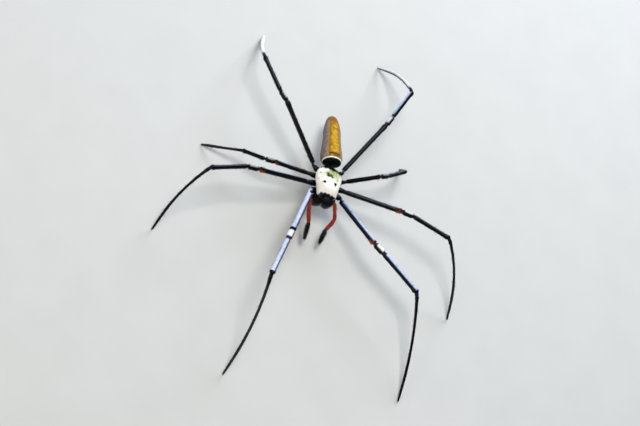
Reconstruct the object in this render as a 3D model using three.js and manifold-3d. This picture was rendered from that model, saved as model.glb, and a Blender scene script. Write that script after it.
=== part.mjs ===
// A female golden silk orb weaver spider, life size, in millimetres. She stands on the tips of her
// eight legs with +Z up and her head towards -Y, so that +X is her left. The origin is on the floor,
// under the middle of her span. Each plate and leg joint is its own closed piece.

import * as THREE from "three";
import { mergeVertices } from "three/addons/utils/BufferGeometryUtils.js";
import Module from "manifold-3d";

const wasm = await Module();
wasm.setup();

// Driving sizes of the whole animal
const seam = 0.3; // gap between two lengths of a leg
const socket = 0.38; // gap round a piece that sits in a hollow of another
const hipHeight = 12.1; // where the legs leave the body, above the floor
const tipHeight = 0.22; // middle of a leg's last section, above the floor
const soleDepth = 0.6; // how far below the floor the trimming block reaches

// Head and chest, from the face at -Y to the waist at +Y
const carapace = {
  front: -8.9,
  rear: 6.2,
  rim: 14.0,
  headHalfWidth: 4.55,
  chestHalfWidth: 5.65,
  headTop: 17.9,
  chestTop: 16.9,
  faceTop: 16.2,
  waistTop: 15.2,
  keel: 0.35,
  dent: { y: 2.3, depth: 0.75, halfLength: 1.3, halfWidth: 1.0 },
  groove: { depth: 0.38, halfWidth: 0.55, tip: 0.2, slant: 0.62 },
};
const tubercle = { x: 2.2, y: -2.1, height: 1.3, radius: 0.72 };
const eye = { radius: 0.34, proud: 0.15 };
const core = { front: -4.9, rear: 5.5, halfWidth: 3.9, top: 13.65, sternum: 10.1 };
const waist = { radius: 0.85, y: [4.9, 8.6], z: [12.6, 13.2] };

// Jaws, mouth parts and palps
const chelicera = {
  top: [2.05, -7.6, 14.6],
  tip: [2.2, -8.0, 6.5],
  halfWidth: 2.05,
  halfDepth: 1.95,
  bulge: { at: 0.42, depth: 0.26 },
};
const fang = { root: [2.9, -8.3, 7.4], bend: [2.5, -8.3, 5.9], point: [0.8, -7.3, 5.7], radius: 0.45 };
const maxilla = { centre: [2.1, -5.4, 9.9], size: [1.5, 1.6, 1.0] };
const palpRadius = 0.82;

// Belly, from the blunt front over the waist to the rounded tail
const abdomen = {
  front: [0.3, 6.8, 14.6],
  rear: [0.3, 31.2, 8.6],
  halfWidth: [[0, 4.5], [0.1, 4.65], [0.25, 4.4], [0.5, 3.75], [0.66, 3.7], [0.82, 3.5], [1, 3.1]],
  back: [[0, 4.6], [0.12, 4.75], [0.3, 4.3], [0.52, 3.7], [0.7, 3.65], [0.85, 3.35], [1, 2.9]],
  underside: [[0, 4.2], [0.2, 4.6], [0.45, 3.9], [0.7, 3.3], [1, 2.3]],
  frontBluntness: 6.5,
  rearBluntness: 2.9,
};
const spinneret = { at: 0.8, length: 1.7, radius: 0.55, spread: 1.05 };

// Legs by pair: lengths from the hip outwards, the thickest radius, and where the hip is
const legPairs = [
  { hip: [5.7, -4.9], femur: 24.7, patella: 4.9, tibia: 20.6, metatarsus: 37.0, tarsus: 7.6, girth: 1.06 },
  { hip: [6.7, -1.7], femur: 26.2, patella: 4.8, tibia: 17.1, metatarsus: 28.8, tarsus: 6.6, girth: 1.0 },
  { hip: [6.6, 1.9], femur: 16.0, patella: 4.2, tibia: 9.6, metatarsus: 12.8, tarsus: 4.8, girth: 0.89 },
  { hip: [5.3, 5.0], femur: 29.4, patella: 4.65, tibia: 15.5, metatarsus: 21.6, tarsus: 5.8, girth: 0.95 },
];
const trochanterLength = 1.3;

// How each leg is held: [heading, rise] in degrees for each length. Heading 0 is straight ahead, 90
// is out to the leg's own side and 180 is straight back. Rise is above the horizontal.
const stance = {
  left: [
    { femur: [42, 12], patella: [54, 1], tibia: [52, -1], metatarsus: [14, -22], tarsus: [-2, -22] },
    { femur: [80, 12], patella: [77, 9], tibia: [70, 4], metatarsus: [40, -28], tarsus: [8, -37] },
    { femur: [106, 24], patella: [115, -16], tibia: [122, -12], metatarsus: [157, -62], tarsus: [157, -62] },
    { femur: [148, 12], patella: [151, 6], tibia: [152, 0], metatarsus: [-168, -29], tarsus: [-137, -52] },
  ],
  right: [
    { femur: [20, 17], patella: [21, 19], tibia: [20, 17], metatarsus: [-3, -37], tarsus: [18, -37] },
    { femur: [80, 19], patella: [87, 4], tibia: [68, 12], metatarsus: [49, -44], tarsus: [20, -44] },
    { femur: [93, 2], patella: [92, -3], tibia: [107, -21], metatarsus: [96, -30], tarsus: [98, -30] },
    { femur: [142, 12], patella: [138, 0], tibia: [145, 3], metatarsus: [180, -45], tarsus: [199, -42] },
  ],
};

// How thick each length is along itself, as a share of the leg's girth
const swelling = {
  coxa: [[0, 0.95], [0.3, 1.2], [0.6, 1.26], [0.74, 1.14], [0.8, 0.98], [0.88, 1.12], [1, 0.98]],
  femur: [[0, 0.88], [0.04, 0.98], [0.2, 0.99], [0.6, 0.98], [0.88, 0.98], [0.95, 1.2], [1, 1.12]],
  patella: [[0, 1.02], [0.18, 1.18], [0.5, 1.1], [0.82, 1.16], [1, 0.98]],
  tibia: [[0, 0.9], [0.06, 0.98], [0.25, 0.92], [0.6, 0.88], [0.87, 0.92], [0.95, 1.12], [1, 1.0]],
  foot: [[0, 0.86], [0.02, 0.9], [0.07, 0.64], [0.2, 0.56], [0.5, 0.48], [0.8, 0.43], [0.86, 0.4], [1, 0.25]],
  palpFemur: [[0, 0.75], [0.2, 0.85], [0.8, 0.9], [1, 0.78]],
  palpTibia: [[0, 0.8], [0.2, 0.98], [0.42, 0.86], [0.75, 1.02], [1, 0.86]],
  palpTarsus: [[0, 0.82], [0.2, 0.98], [0.6, 0.9], [0.9, 0.6], [1, 0.3]],
};

const cuticle = { black: 0x14141a, blue: 0x5b6b86, brown: 0x2a1c14, red: 0x8c2a17, tan: 0xb08a3a };
const finish = {
  blackShell: { color: cuticle.black, roughness: 0.28, metalness: 0 },
  blueShell: { color: cuticle.blue, roughness: 0.35, metalness: 0 },
  redShell: { color: cuticle.red, roughness: 0.4, metalness: 0 },
  whiteDown: { color: 0xe9e6d6, roughness: 0.9, metalness: 0 },
  goldSkin: { color: cuticle.tan, roughness: 0.55, metalness: 0 },
  softSkin: { color: cuticle.brown, roughness: 0.6, metalness: 0 },
};

const up = new THREE.Vector3(0, 0, 1);
const point = ([x, y, z], side = 1) => new THREE.Vector3(side * x, y, z);
const mix = (a, b, share) => a + (b - a) * share;
const ease = (share) => share * share * (3 - 2 * share);
const bell = (x, halfWidth) => Math.exp(-((x / halfWidth) ** 2));

// The value at a share of the way along, on a smooth curve through [share, value] stations that
// never swings past them.
function along(stations, share) {
  const last = stations.length - 1;
  const rate = (i) => (stations[i + 1][1] - stations[i][1]) / (stations[i + 1][0] - stations[i][0]);
  const slope = (i) => {
    if (i === 0) return rate(0);
    if (i === last) return rate(last - 1);
    const [before, after] = [rate(i - 1), rate(i)];
    return before * after <= 0 ? 0 : (2 * before * after) / (before + after);
  };
  const next = stations.findIndex(([at]) => at >= share);
  const i = THREE.MathUtils.clamp(next < 0 ? last : next, 1, last) - 1;
  const length = stations[i + 1][0] - stations[i][0];
  const t = THREE.MathUtils.clamp((share - stations[i][0]) / length, 0, 1);
  const bend = t * (1 - t) * length * (slope(i) * (1 - t) - slope(i + 1) * t);
  return mix(stations[i][1], stations[i + 1][1], ease(t)) + bend;
}

// A superellipse's half width where its length coordinate runs from -1 to 1.
function blunt(v, power) {
  return (1 - Math.min(Math.abs(v), 1) ** power) ** (1 / power);
}

// Unit direction of a leg length on its own side.
function direction(side, [heading, rise]) {
  const h = THREE.MathUtils.degToRad(heading);
  const r = THREE.MathUtils.degToRad(rise);
  return new THREE.Vector3(side * Math.sin(h) * Math.cos(r), -Math.cos(h) * Math.cos(r), Math.sin(r));
}

// Moves every vertex of a closed three.js geometry to where place(x, y, z) puts it.
function shaped(geometry, place) {
  const position = geometry.getAttribute("position");
  for (let i = 0; i < position.count; i++) {
    const moved = place(position.getX(i), position.getY(i), position.getZ(i));
    position.setXYZ(i, moved.x, moved.y, moved.z);
  }
  return geometry;
}

function toSolid(geometry) {
  const bare = geometry.clone();
  bare.deleteAttribute("normal");
  bare.deleteAttribute("uv");
  const merged = mergeVertices(bare, 1e-4);
  return new wasm.Manifold(
    new wasm.Mesh({
      numProp: 3,
      vertProperties: merged.getAttribute("position").array,
      triVerts: new Uint32Array(merged.index.array),
    }),
  );
}

// The largest closed surface of a solid, so that no loose scrap is left by a cut.
function largest(solid) {
  return solid.decompose().reduce((a, b) => (a.volume() > b.volume() ? a : b));
}

function toGeometry(solid) {
  const mesh = largest(solid).getMesh();
  const geometry = new THREE.BufferGeometry();
  geometry.setAttribute("position", new THREE.BufferAttribute(mesh.vertProperties, 3));
  geometry.setIndex(new THREE.BufferAttribute(mesh.triVerts, 1));
  return geometry;
}

const joined = (solids) => solids.reduce((a, b) => a.add(b));
const onSide = (solid, side) => (side > 0 ? solid : solid.mirror([1, 0, 0]));
const cutBy = (solid, cutters) => cutters.reduce((a, b) => a.subtract(b), solid);

// A round limb along centreAt(share). Its end faces are square to the given normals, and the
// sections between them are square to the centreline.
function limb({ centreAt, startFace, endFace, radiusAt, stations, sides = 10 }) {
  const steps = stations.length - 1;
  const nudge = 1e-3;
  const sections = stations.map((share, i) => {
    const ahead = centreAt(Math.min(share + nudge, 1));
    const normal = ahead.sub(centreAt(Math.max(share - nudge, 0))).normalize();
    if (i === 0 && startFace) normal.copy(startFace);
    if (i === steps && endFace) normal.copy(endFace);
    const across = new THREE.Vector3().crossVectors(normal, up).normalize();
    const top = new THREE.Vector3().crossVectors(across, normal);
    return { centre: centreAt(share), across, top, radius: radiusAt(share) };
  });
  return shaped(new THREE.CylinderGeometry(1, 1, 1, sides, steps), (x, y, z) => {
    const { centre, across, top, radius } = sections[Math.round((0.5 - y) * steps)];
    return centre.clone().addScaledVector(top, x * radius).addScaledVector(across, z * radius);
  });
}

// A blob with its poles at the two ends of its length, each with its own bluntness. place gets
// the share of the way along, the angle round the section (a quarter turn is up) and how far out
// the section reaches.
function blob(around, lengthwise, [front, rear], place) {
  return shaped(new THREE.SphereGeometry(1, around, lengthwise), (x, y, z) => {
    const reach = Math.hypot(x, z) < 1e-6 ? 0 : blunt(y, y < 0 ? front : rear);
    return place((1 + y) / 2, Math.atan2(z, x), reach);
  });
}

// Head and chest shield

function shieldTop(x, y) {
  const c = carapace;
  const share = THREE.MathUtils.clamp((y - c.front) / (c.rear - c.front), 0, 1);
  const head = [[0, c.faceTop], [0.3, c.headTop], [0.48, c.headTop - 0.5]];
  const chest = [[0.62, c.chestTop], [0.8, c.chestTop], [1, c.waistTop]];
  const ridge = along([...head, ...chest], share);
  const dent = c.dent.depth * bell(y - c.dent.y, c.dent.halfLength) * bell(x, c.dent.halfWidth);
  const off = y - (c.groove.tip - c.groove.slant * Math.abs(x));
  const groove = c.groove.depth * bell(off, c.groove.halfWidth) * ease(Math.min(Math.abs(x) / 2, 1));
  return ridge - dent - groove;
}

function carapaceShape(grow = 0) {
  const c = carapace;
  return blob(32, 22, [3, 3], (share, angle, reach) => {
    const y = mix(c.front - grow, c.rear + grow, share);
    const behindHead = ease(THREE.MathUtils.clamp((share - 0.3) / 0.36, 0, 1));
    const halfWidth = mix(c.headHalfWidth, c.chestHalfWidth, behindHead);
    const rearTaper = 1 - 0.12 * ease(THREE.MathUtils.clamp((share - 0.72) / 0.28, 0, 1));
    const x = Math.cos(angle) * reach * (halfWidth * rearTaper + grow);
    const height = shieldTop(x, y) - c.rim + grow;
    const rise = Math.sin(angle);
    const z = rise > 0 ? rise ** 0.9 * reach * height : rise * reach * (c.keel + grow);
    return new THREE.Vector3(x, y, c.rim + z);
  });
}

function makeCarapace() {
  const shield = toSolid(carapaceShape());
  const horns = [-1, 1].map((side) => {
    const { x, y, height, radius } = tubercle;
    const foot = new THREE.Vector3(side * x, y, shieldTop(x, y) - 1.5);
    const tip = new THREE.Vector3(side * (x + 0.25), y - 0.1, shieldTop(x, y) + height - 0.55);
    return toSolid(
      limb({
        centreAt: (share) => foot.clone().lerp(tip, share),
        radiusAt: (share) => mix(radius * 1.5, 0.2, share ** 0.8),
        stations: [0, 0.4, 0.65, 0.85, 1],
        sides: 12,
      }),
    );
  });
  const eyes = eyePlaces().map(({ x, y, z }) => {
    return toSolid(new THREE.SphereGeometry(eye.radius, 8, 6).translate(x, y, z));
  });
  return joined([shield, ...horns, ...eyes]);
}

// Two rows of four eyes on the face: the middle four make a square, the outer ones sit in pairs.
function eyePlaces() {
  const rows = [
    { x: 0.55, y: -8.15 },
    { x: 0.62, y: -7.1 },
    { x: 3.05, y: -7.95 },
    { x: 3.35, y: -7.2 },
  ];
  const solid = [];
  for (const { x, y } of rows) {
    for (const side of [-1, 1]) {
      const v = (2 * (y - carapace.front)) / (carapace.rear - carapace.front) - 1;
      const reach = blunt(v, 3.0);
      const cosine = Math.min(x / (carapace.headHalfWidth * reach), 1);
      const rise = Math.sqrt(1 - cosine * cosine) ** 0.9;
      const z = carapace.rim + rise * reach * (shieldTop(x, y) - carapace.rim);
      solid.push({ x: side * x, y, z: z + eye.proud - eye.radius / 2 });
    }
  }
  return solid;
}

// Underside of the chest, which carries the legs
function coreShape(grow = 0) {
  const c = core;
  return blob(20, 12, [2.6, 2.6], (share, angle, reach) => {
    const y = mix(c.front - grow, c.rear + grow, share);
    const taper = mix(1, 0.72, ease(share));
    const middle = mix(c.sternum, c.top, 0.62);
    const half = Math.sin(angle) > 0 ? c.top - middle : middle - c.sternum;
    const x = Math.cos(angle) * reach * (c.halfWidth * taper + grow);
    return new THREE.Vector3(x, y, middle + Math.sin(angle) * reach * (half + grow));
  });
}

// Belly

function abdomenSection(share) {
  const a = abdomen;
  const middle = point(a.front).lerp(point(a.rear), share);
  return {
    middle,
    halfWidth: along(a.halfWidth, share),
    back: along(a.back, share),
    underside: along(a.underside, share),
  };
}

function abdomenShape(grow = 0) {
  return blob(28, 24, [abdomen.frontBluntness, abdomen.rearBluntness], (share, angle, reach) => {
    const { middle, halfWidth, back, underside } = abdomenSection(share);
    const tall = Math.sin(angle) > 0 ? back : underside;
    middle.y += (share * 2 - 1) * grow;
    middle.x += Math.cos(angle) * reach * (halfWidth + grow);
    middle.z += Math.sin(angle) * reach * (tall + grow);
    return middle;
  });
}

// Six spinnerets round a low mount under the tail
function spinneretShape() {
  const { middle, underside } = abdomenSection(spinneret.at);
  const foot = middle.clone().add(new THREE.Vector3(0, 0, 0.5 - underside * 0.94));
  const mount = shaped(new THREE.SphereGeometry(1, 14, 8), (x, y, z) => {
    return foot.clone().add(new THREE.Vector3(x * 1.5, y * 1.7, z * 1.1));
  });
  const cones = [];
  for (const [row, size] of [[-1, 1], [0, 0.62], [1, 0.9]]) {
    for (const side of [-1, 1]) {
      const inward = row === 0 ? 0.4 : 0.8;
      const x = side * spinneret.spread * inward * 0.8;
      const root = foot.clone().add(new THREE.Vector3(x, row * 0.85, -0.2));
      const lean = new THREE.Vector3(side * -0.1, 0.35 + row * -0.1, -1).normalize();
      cones.push(
        limb({
          centreAt: (share) => root.clone().addScaledVector(lean, share * (spinneret.length * size + 0.3)),
          radiusAt: (share) => mix(spinneret.radius * size, 0.25, share ** 1.6),
          stations: [0, 0.5, 0.85, 1],
          sides: 8,
        }),
      );
    }
  }
  return joined([mount, ...cones].map(toSolid));
}

// Jaws

// The left jaw, fang and mouth lobe. Those of the right side are their mirror images.
function cheliceraShape(grow = 0) {
  const c = chelicera;
  const axis = point(c.tip).sub(point(c.top));
  const across = new THREE.Vector3(1, 0, 0);
  const forward = new THREE.Vector3().crossVectors(axis, across).normalize();
  return shaped(new THREE.SphereGeometry(1, 18, 14), (x, y, z) => {
    const share = (1 - y) / 2;
    const reach = Math.hypot(x, z) < 1e-6 ? 0 : blunt(y, 2.5) / Math.hypot(x, z);
    const slim = mix(1, 0.74, ease(share));
    const bulge = 1 + c.bulge.depth * bell(share - c.bulge.at, 0.3) * Math.max(z * reach, 0);
    return point(c.top)
      .addScaledVector(axis, share)
      .addScaledVector(axis.clone().normalize(), grow * (share * 2 - 1))
      .addScaledVector(across, x * reach * (c.halfWidth * slim + grow))
      .addScaledVector(forward, z * reach * (c.halfDepth * slim * bulge + grow));
  });
}

function fangShape() {
  const curve = new THREE.CatmullRomCurve3([fang.root, fang.bend, fang.point].map((p) => point(p)));
  return limb({
    centreAt: (share) => curve.getPoint(share),
    radiusAt: (share) => mix(fang.radius, 0.16, share),
    stations: [0, 0.25, 0.5, 0.75, 1],
    sides: 8,
  });
}

function maxillaShape(grow = 0) {
  const [halfWidth, halfLength, halfHeight] = maxilla.size.map((half) => half + grow);
  return shaped(new THREE.SphereGeometry(1, 14, 10), (x, y, z) =>
    point(maxilla.centre).add(new THREE.Vector3(x * halfWidth, y * halfLength, z * halfHeight)),
  );
}

// Palps: the way each is held is its own, as [x, y, z] joints on its own side

const palpJoints = {
  left: [
    [3.4, -5.7, 10.5],
    [5.35, -7.9, 10.5],
    [5.9, -10.9, 10.0],
    [6.55, -13.2, 8.9],
    [4.1, -17.8, 7.0],
    [2.7, -23.6, 5.0],
  ],
  right: [
    [3.4, -5.7, 10.5],
    [5.3, -7.9, 10.6],
    [5.2, -11.0, 10.4],
    [4.9, -13.2, 9.7],
    [3.85, -17.0, 8.2],
    [3.8, -23.4, 5.2],
  ],
};

function palpShapes(name, side) {
  const [root, elbow, knee, wrist, cuff, tip] = palpJoints[name].map((p) => point(p, side));
  const middle = cuff.clone().lerp(tip, 0.5);
  const atKnee = wrist.clone().sub(elbow).normalize();
  const atCuff = tip.clone().sub(wrist).normalize();
  const { palpFemur, palpTibia, palpTarsus } = swelling;
  const lengths = [
    { part: "femur", bends: [root, elbow, knee], endFace: atKnee, swell: palpFemur },
    { part: "tibia", bends: [knee, wrist, cuff], startFace: atKnee, endFace: atCuff, swell: palpTibia },
    { part: "tarsus", bends: [cuff, middle, tip], startFace: atCuff, swell: palpTarsus },
  ];
  return lengths.map(({ part, bends, startFace, endFace, swell }) => {
    const curve = new THREE.CatmullRomCurve3(bends);
    const trim = seam / 2 / curve.getLength();
    return {
      part,
      geometry: limb({
        centreAt: (share) => curve.getPoint(mix(trim, 1 - trim, share)),
        startFace,
        endFace,
        radiusAt: (share) => palpRadius * along(swell, share),
        stations: [0, 0.12, 0.3, 0.5, 0.7, 0.88, 1],
      }),
    };
  });
}

// Legs

// The leg's joints, with its last two lengths as one smooth bend that ends on the floor.
function legLine(side, pair, pose) {
  const hip = new THREE.Vector3(side * pair.hip[0], pair.hip[1], hipHeight);
  const knee = hip.clone().addScaledVector(direction(side, pose.femur), pair.femur);
  const patellaEnd = knee.clone().addScaledVector(direction(side, pose.patella), pair.patella);
  const ankle = patellaEnd.clone().addScaledVector(direction(side, pose.tibia), pair.tibia);
  const bends = 12;
  const foot = [ankle.clone()];
  for (let i = 0; i < bends; i++) {
    const share = (i + 0.5) / bends;
    const turn = [0, 1].map((k) => mix(pose.metatarsus[k], pose.tarsus[k], share));
    foot.push(foot.at(-1).clone().addScaledVector(direction(side, turn), pair.metatarsus / bends));
  }
  foot.push(foot.at(-1).clone().addScaledVector(direction(side, pose.tarsus), pair.tarsus));
  const drop = foot.at(-1).z - tipHeight;
  foot.forEach((p, i) => {
    p.z -= drop * Math.min(i / bends, 1);
  });
  return { hip, knee, patellaEnd, ankle, foot };
}

// The plane between two lengths that meet at a bend.
const betweenFaces = (before, after) => before.clone().normalize().add(after.clone().normalize()).normalize();

// A straight centreline from a to b, drawn in at both ends so that parallel end faces leave a seam.
function straight(a, b, startFace, endFace) {
  const way = b.clone().sub(a);
  const [start, end] = [startFace, endFace].map((face) => seam / 2 / way.dot(face));
  return (share) => a.clone().lerp(b, mix(start, 1 - end, share));
}

function legShapes(side, pair, pose) {
  const { hip, knee, patellaEnd, ankle, foot } = legLine(side, pair, pose);
  const thigh = direction(side, pose.femur);
  const shin = direction(side, pose.tibia);
  const kneecap = direction(side, pose.patella);
  const trochanter = hip.clone().addScaledVector(thigh, trochanterLength);
  const inner = new THREE.Vector3(hip.x * 0.34, hip.y * 0.72, hipHeight - 0.35);
  const hipBend = new THREE.CatmullRomCurve3([inner, inner.clone().lerp(hip, 0.6), hip, trochanter]);
  const footCurve = new THREE.CatmullRomCurve3(foot, false, "centripetal");
  const kneeFace = betweenFaces(thigh, kneecap);
  const shinFace = betweenFaces(kneecap, shin);
  const ankleFace = betweenFaces(shin, foot[1].clone().sub(foot[0]));
  const footTrim = seam / 2 / ankleFace.dot(foot[1].clone().sub(foot[0]).normalize()) / footCurve.getLength();
  const hipTrim = seam / 2 / hipBend.getLength();
  const thickness = (name) => (share) => pair.girth * along(swelling[name], share);
  return [
    {
      part: "coxa",
      centreAt: (share) => hipBend.getPoint(share * (1 - hipTrim)),
      endFace: thigh,
      radiusAt: thickness("coxa"),
      stations: [0, 0.3, 0.55, 0.72, 0.8, 0.88, 1],
    },
    {
      part: "femur",
      centreAt: straight(trochanter, knee, thigh, kneeFace),
      startFace: thigh,
      endFace: kneeFace,
      radiusAt: thickness("femur"),
      stations: [0, 0.04, 0.3, 0.6, 0.88, 0.95, 1],
    },
    {
      part: "patella",
      centreAt: straight(knee, patellaEnd, kneeFace, shinFace),
      startFace: kneeFace,
      endFace: shinFace,
      radiusAt: thickness("patella"),
      stations: [0, 0.18, 0.5, 0.82, 1],
    },
    {
      part: "tibia",
      centreAt: straight(patellaEnd, ankle, shinFace, ankleFace),
      startFace: shinFace,
      endFace: ankleFace,
      radiusAt: thickness("tibia"),
      stations: [0, 0.06, 0.3, 0.6, 0.87, 0.95, 1],
    },
    {
      part: "foot",
      centreAt: (share) => footCurve.getPointAt(mix(footTrim, 1, share)),
      startFace: ankleFace,
      radiusAt: thickness("foot"),
      stations: [0, 0.02, 0.07, 0.2, 0.34, 0.48, 0.62, 0.74, 0.84, 0.93, 1],
    },
  ];
}

// The whole animal

const spider = new THREE.Group();

function addPiece(name, solid, look) {
  const mesh = new THREE.Mesh(toGeometry(solid), new THREE.MeshStandardMaterial(finish[look]));
  mesh.name = name;
  spider.add(mesh);
}

const shieldRoom = toSolid(carapaceShape(socket));
const coreRoom = toSolid(coreShape(socket));
const bellyRoom = toSolid(abdomenShape(socket));
const sides = [
  ["left", 1],
  ["right", -1],
];

addPiece("carapace", makeCarapace(), "whiteDown");
addPiece("sternum", cutBy(toSolid(coreShape()), [shieldRoom]), "softSkin");
addPiece("abdomen", toSolid(abdomenShape()), "goldSkin");
addPiece("spinnerets", cutBy(spinneretShape(), [bellyRoom]), "softSkin");

const [waistStart, waistEnd] = waist.y.map((y, i) => new THREE.Vector3(0, y, waist.z[i]));
const waistShape = limb({
  centreAt: (share) => waistStart.clone().lerp(waistEnd, share),
  radiusAt: () => waist.radius,
  stations: [0, 0.25, 0.5, 0.75, 1],
  sides: 14,
});
addPiece("pedicel", cutBy(toSolid(waistShape), [shieldRoom, coreRoom, bellyRoom]), "softSkin");

for (const [name, side] of sides) {
  const jaw = onSide(toSolid(cheliceraShape()), side);
  const jawRoom = onSide(toSolid(cheliceraShape(socket)), side);
  const farHalf = new THREE.BoxGeometry(10, 20, 20).translate(side * (seam / 2 - 5), -8, 10);
  addPiece(`chelicera_${name}`, cutBy(jaw, [shieldRoom, toSolid(farHalf)]), "blackShell");
  addPiece(`fang_${name}`, cutBy(onSide(toSolid(fangShape()), side), [jawRoom]), "blackShell");
  const mouthPart = onSide(toSolid(maxillaShape()), side);
  addPiece(`maxilla_${name}`, cutBy(mouthPart, [coreRoom, jawRoom]), "softSkin");
  const mouthRoom = onSide(toSolid(maxillaShape(socket)), side);
  for (const { part, geometry } of palpShapes(name, side)) {
    const palp = cutBy(toSolid(geometry), [mouthRoom, coreRoom, jawRoom]);
    addPiece(`palp_${name}_${part}`, palp, part === "tarsus" ? "blackShell" : "redShell");
  }
  stance[name].forEach((pose, i) => {
    for (const { part, ...shape } of legShapes(side, legPairs[i], pose)) {
      const cutters = [];
      if (part === "coxa") cutters.push(coreRoom, shieldRoom);
      if (part === "foot") {
        const floor = new THREE.BoxGeometry(400, 400, soleDepth).translate(0, 0, -soleDepth / 2);
        cutters.push(toSolid(floor));
      }
      const look = i === 0 && part !== "foot" && part !== "coxa" ? "blueShell" : "blackShell";
      addPiece(`leg_${name}_${i + 1}_${part}`, cutBy(toSolid(limb(shape)), cutters), look);
    }
  });
}

// The floor point under the middle of her span becomes the origin.
const span = new THREE.Box3().setFromObject(spider);
const middle = span.getCenter(new THREE.Vector3());
spider.position.set(-middle.x, -middle.y, -span.min.z);

export default spider;
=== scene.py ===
# Golden silk orb weaver: the looks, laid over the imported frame.
# In metres, with +Z up from the floor, her head towards -Y and her left towards +X.

import math

import bpy
import numpy as np
from mathutils import Matrix, Vector
from mathutils.bvhtree import BVHTree


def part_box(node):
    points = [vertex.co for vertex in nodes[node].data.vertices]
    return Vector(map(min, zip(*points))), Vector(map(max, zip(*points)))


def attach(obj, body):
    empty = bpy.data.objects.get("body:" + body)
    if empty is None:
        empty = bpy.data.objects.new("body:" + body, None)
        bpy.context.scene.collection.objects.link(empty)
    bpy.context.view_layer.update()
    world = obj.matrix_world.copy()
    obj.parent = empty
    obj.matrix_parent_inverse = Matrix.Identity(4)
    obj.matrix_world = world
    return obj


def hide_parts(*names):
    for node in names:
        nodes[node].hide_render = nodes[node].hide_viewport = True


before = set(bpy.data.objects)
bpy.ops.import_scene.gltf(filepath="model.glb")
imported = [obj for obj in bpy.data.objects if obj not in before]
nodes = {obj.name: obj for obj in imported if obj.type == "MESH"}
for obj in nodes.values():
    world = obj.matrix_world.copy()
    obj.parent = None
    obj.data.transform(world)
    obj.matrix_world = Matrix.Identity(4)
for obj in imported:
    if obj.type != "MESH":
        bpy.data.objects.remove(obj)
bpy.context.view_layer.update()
mm = 0.001
turn = 2 * math.pi
worldUp = np.array([0.0, 0.0, 1.0])
sides = (("left", 1), ("right", -1))  # each side's name and its sign along X
print("frame loaded:", len(nodes), "nodes")

# Places on the body are in mm, from the floor point under the chest.
chestLow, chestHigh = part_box("sternum")
chestMiddle = 0.3  # mm from that point back to the middle of the chest plate
origin = np.array([(chestLow.x + chestHigh.x) / 2, (chestLow.y + chestHigh.y) / 2 - chestMiddle * mm, 0.0])


def place(x, y, z):
    return origin + np.array([x, y, z]) * mm


def unit(v):
    return v / np.maximum(np.linalg.norm(v, axis=-1, keepdims=True), 1e-12)


def smooth(low, high, x):
    t = np.clip((x - low) / (high - low), 0, 1)
    return t * t * (3 - 2 * t)


def bell(x, halfWidth):
    return np.exp(-((x / halfWidth) ** 2))


def between(span, x):  # up over the first two of four places, and down again over the last two
    return smooth(span[0], span[1], x) * (1 - smooth(span[2], span[3], x))


# The camera was fitted to the photo's view of the body and of all eight legs.
camera = {
    "target": (0.48, -11.71, 8.0),  # mm from the floor point under the chest
    "distance": 700.0,  # mm
    "azimuth": -37.08,  # degrees, from straight ahead of her towards her right
    "elevation": 60.42,
    "roll": 48.27,
    "lens": 98.44,  # mm, on a 36 mm sensor
}


def makeCamera():
    turned, raised, rolled = (math.radians(camera[k]) for k in ("azimuth", "elevation", "roll"))
    level = math.cos(raised)
    back = Vector((math.sin(turned) * level, -math.cos(turned) * level, math.sin(raised)))
    sideways = Vector((0, 0, 1)).cross(back).normalized()
    upright = back.cross(sideways)
    right = sideways * math.cos(rolled) + upright * math.sin(rolled)
    above = back.cross(right)
    eye = Vector(place(*camera["target"])) + back * camera["distance"] * mm
    lens = bpy.data.cameras.new("camera")
    lens.lens = camera["lens"]
    lens.sensor_width = 36
    lens.clip_start = 0.01
    holder = bpy.data.objects.new("camera", lens)
    bpy.context.scene.collection.objects.link(holder)
    holder.matrix_world = Matrix(
        [[right[i], above[i], back[i], eye[i]] for i in range(3)] + [[0, 0, 0, 1]]
    )
    bpy.context.scene.camera = holder


makeCamera()
bpy.context.scene.view_settings.view_transform = "Standard"
print("camera placed")


def tint(code, alpha=1.0):  # sRGB hex to linear
    parts = [int(code[i : i + 2], 16) / 255 for i in (1, 3, 5)]
    return [c / 12.92 if c <= 0.04045 else ((c + 0.055) / 1.055) ** 2.4 for c in parts] + [alpha]


def addNode(tree, kind, settings=None, links=None):
    made = tree.nodes.new(kind if "Node" in kind else "ShaderNode" + kind)
    for name, value in (settings or {}).items():
        setattr(made, name, value)
    for name, value in (links or {}).items():
        if isinstance(value, bpy.types.NodeSocket):
            tree.links.new(value, made.inputs[name])
        else:
            made.inputs[name].default_value = value
    return made


rgba, single = {"data_type": "RGBA"}, {"data_type": "FLOAT"}
times = {"operation": "MULTIPLY"}


def startMaterial(name, **settings):
    material = bpy.data.materials.new(name)
    material.use_nodes = True
    tree = material.node_tree
    shader = tree.nodes["Principled BSDF"]
    for key, value in settings.items():
        shader.inputs[key.replace("_", " ")].default_value = value
    return material, tree, shader


def joinShader(tree, shader, colour, rough=None, relief=None):
    # The relief is what its height is read from, its strength and its depth in mm.
    tree.links.new(colour, shader.inputs["Base Color"])
    if rough:
        tree.links.new(rough, shader.inputs["Roughness"])
    if relief:
        height, strength, depth = relief
        raised = {"Height": height, "Strength": strength, "Distance": depth * mm}
        bump = addNode(tree, "Bump", links=raised)
        tree.links.new(bump.outputs["Normal"], shader.inputs["Normal"])


materials = {}

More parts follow.
